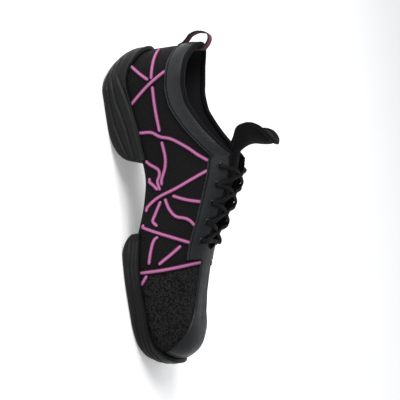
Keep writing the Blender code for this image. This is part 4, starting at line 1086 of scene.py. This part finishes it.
# the floor's glow is painted light: an emission strength on a floor that is no lamp
studio = {"floorSize": 20.0, "floorPaintedGlow": 0.28, "worldColour": "#f2f3f5", "worldStrength": 0.62,
          "azimuth": 5.0, "elevation": 16.0, "roll": 80.0, "distance": 1.15, "lens": 128.0,
          "target": (0.086, 0.0, 0.058), "lampTarget": (0.08, 0, 0.05),
          "lamps": (("softKey", (-0.75, -0.95, 1.0), 0.9, 16), ("softFill", (-1.2, -0.25, 0.8), 0.7, 10),
                    ("softBack", (-0.5, 1.1, 1.1), 1.0, 2))}


def makeStage():
    # matt studio paper with painted light: it glows a little though it is no lamp, which keeps the shadows pale
    # as in the photograph and lights the shoe a little from below
    made, _, sockets = newMaterial("paleFloor", "#f4f4f5", 0.8, Emission_Strength=studio["floorPaintedGlow"])
    sockets["Emission Color"].default_value = (1, 1, 1, 1)
    half = studio["floorSize"]
    mesh = bpy.data.meshes.new("floor")
    corners = [(-half, -half, 0), (half, -half, 0), (half, half, 0), (-half, half, 0)]
    mesh.from_pydata(corners, [], [(0, 1, 2, 3)])
    mesh.materials.append(made)
    plane = newObject("floor", mesh)
    world = bpy.data.worlds.new("studio")
    bpy.context.scene.world = world
    world.use_nodes = True
    world.node_tree.nodes["Background"].inputs[0].default_value = hexColour(studio["worldColour"])
    world.node_tree.nodes["Background"].inputs[1].default_value = studio["worldStrength"]


def makeLamps():
    # round soft boxes that face the shoe: name, place, size and power
    for name, place, size, power in studio["lamps"]:
        data = bpy.data.lights.new(name, "AREA")
        data.shape, data.size, data.energy = "DISK", size, power
        lamp = newObject(name, data)
        lamp.location = place
        aim = Vector(studio["lampTarget"]) - Vector(place)
        lamp.rotation_euler = aim.to_track_quat("-Z", "Y").to_euler()


def makeCamera():
    # the photograph's angle, in turns round the shoe and over the floor, and rolled
    data = bpy.data.cameras.new("photoView")
    data.lens = studio["lens"]
    camera = newObject("photoView", data)
    a, e = math.radians(studio["azimuth"]), math.radians(studio["elevation"])
    back = Vector((math.sin(a) * math.cos(e), -math.cos(a) * math.cos(e), math.sin(e)))
    camera.location = Vector(studio["target"]) + back * studio["distance"]
    roll = Matrix.Rotation(math.radians(studio["roll"]), 4, "Z")
    camera.rotation_euler = ((-back).to_track_quat("-Z", "Y").to_matrix().to_4x4() @ roll).to_euler()
    bpy.context.scene.camera = camera
    bpy.context.scene.view_settings.view_transform = "Standard"


makeStage()
makeLamps()
makeCamera()

print("scene ready")
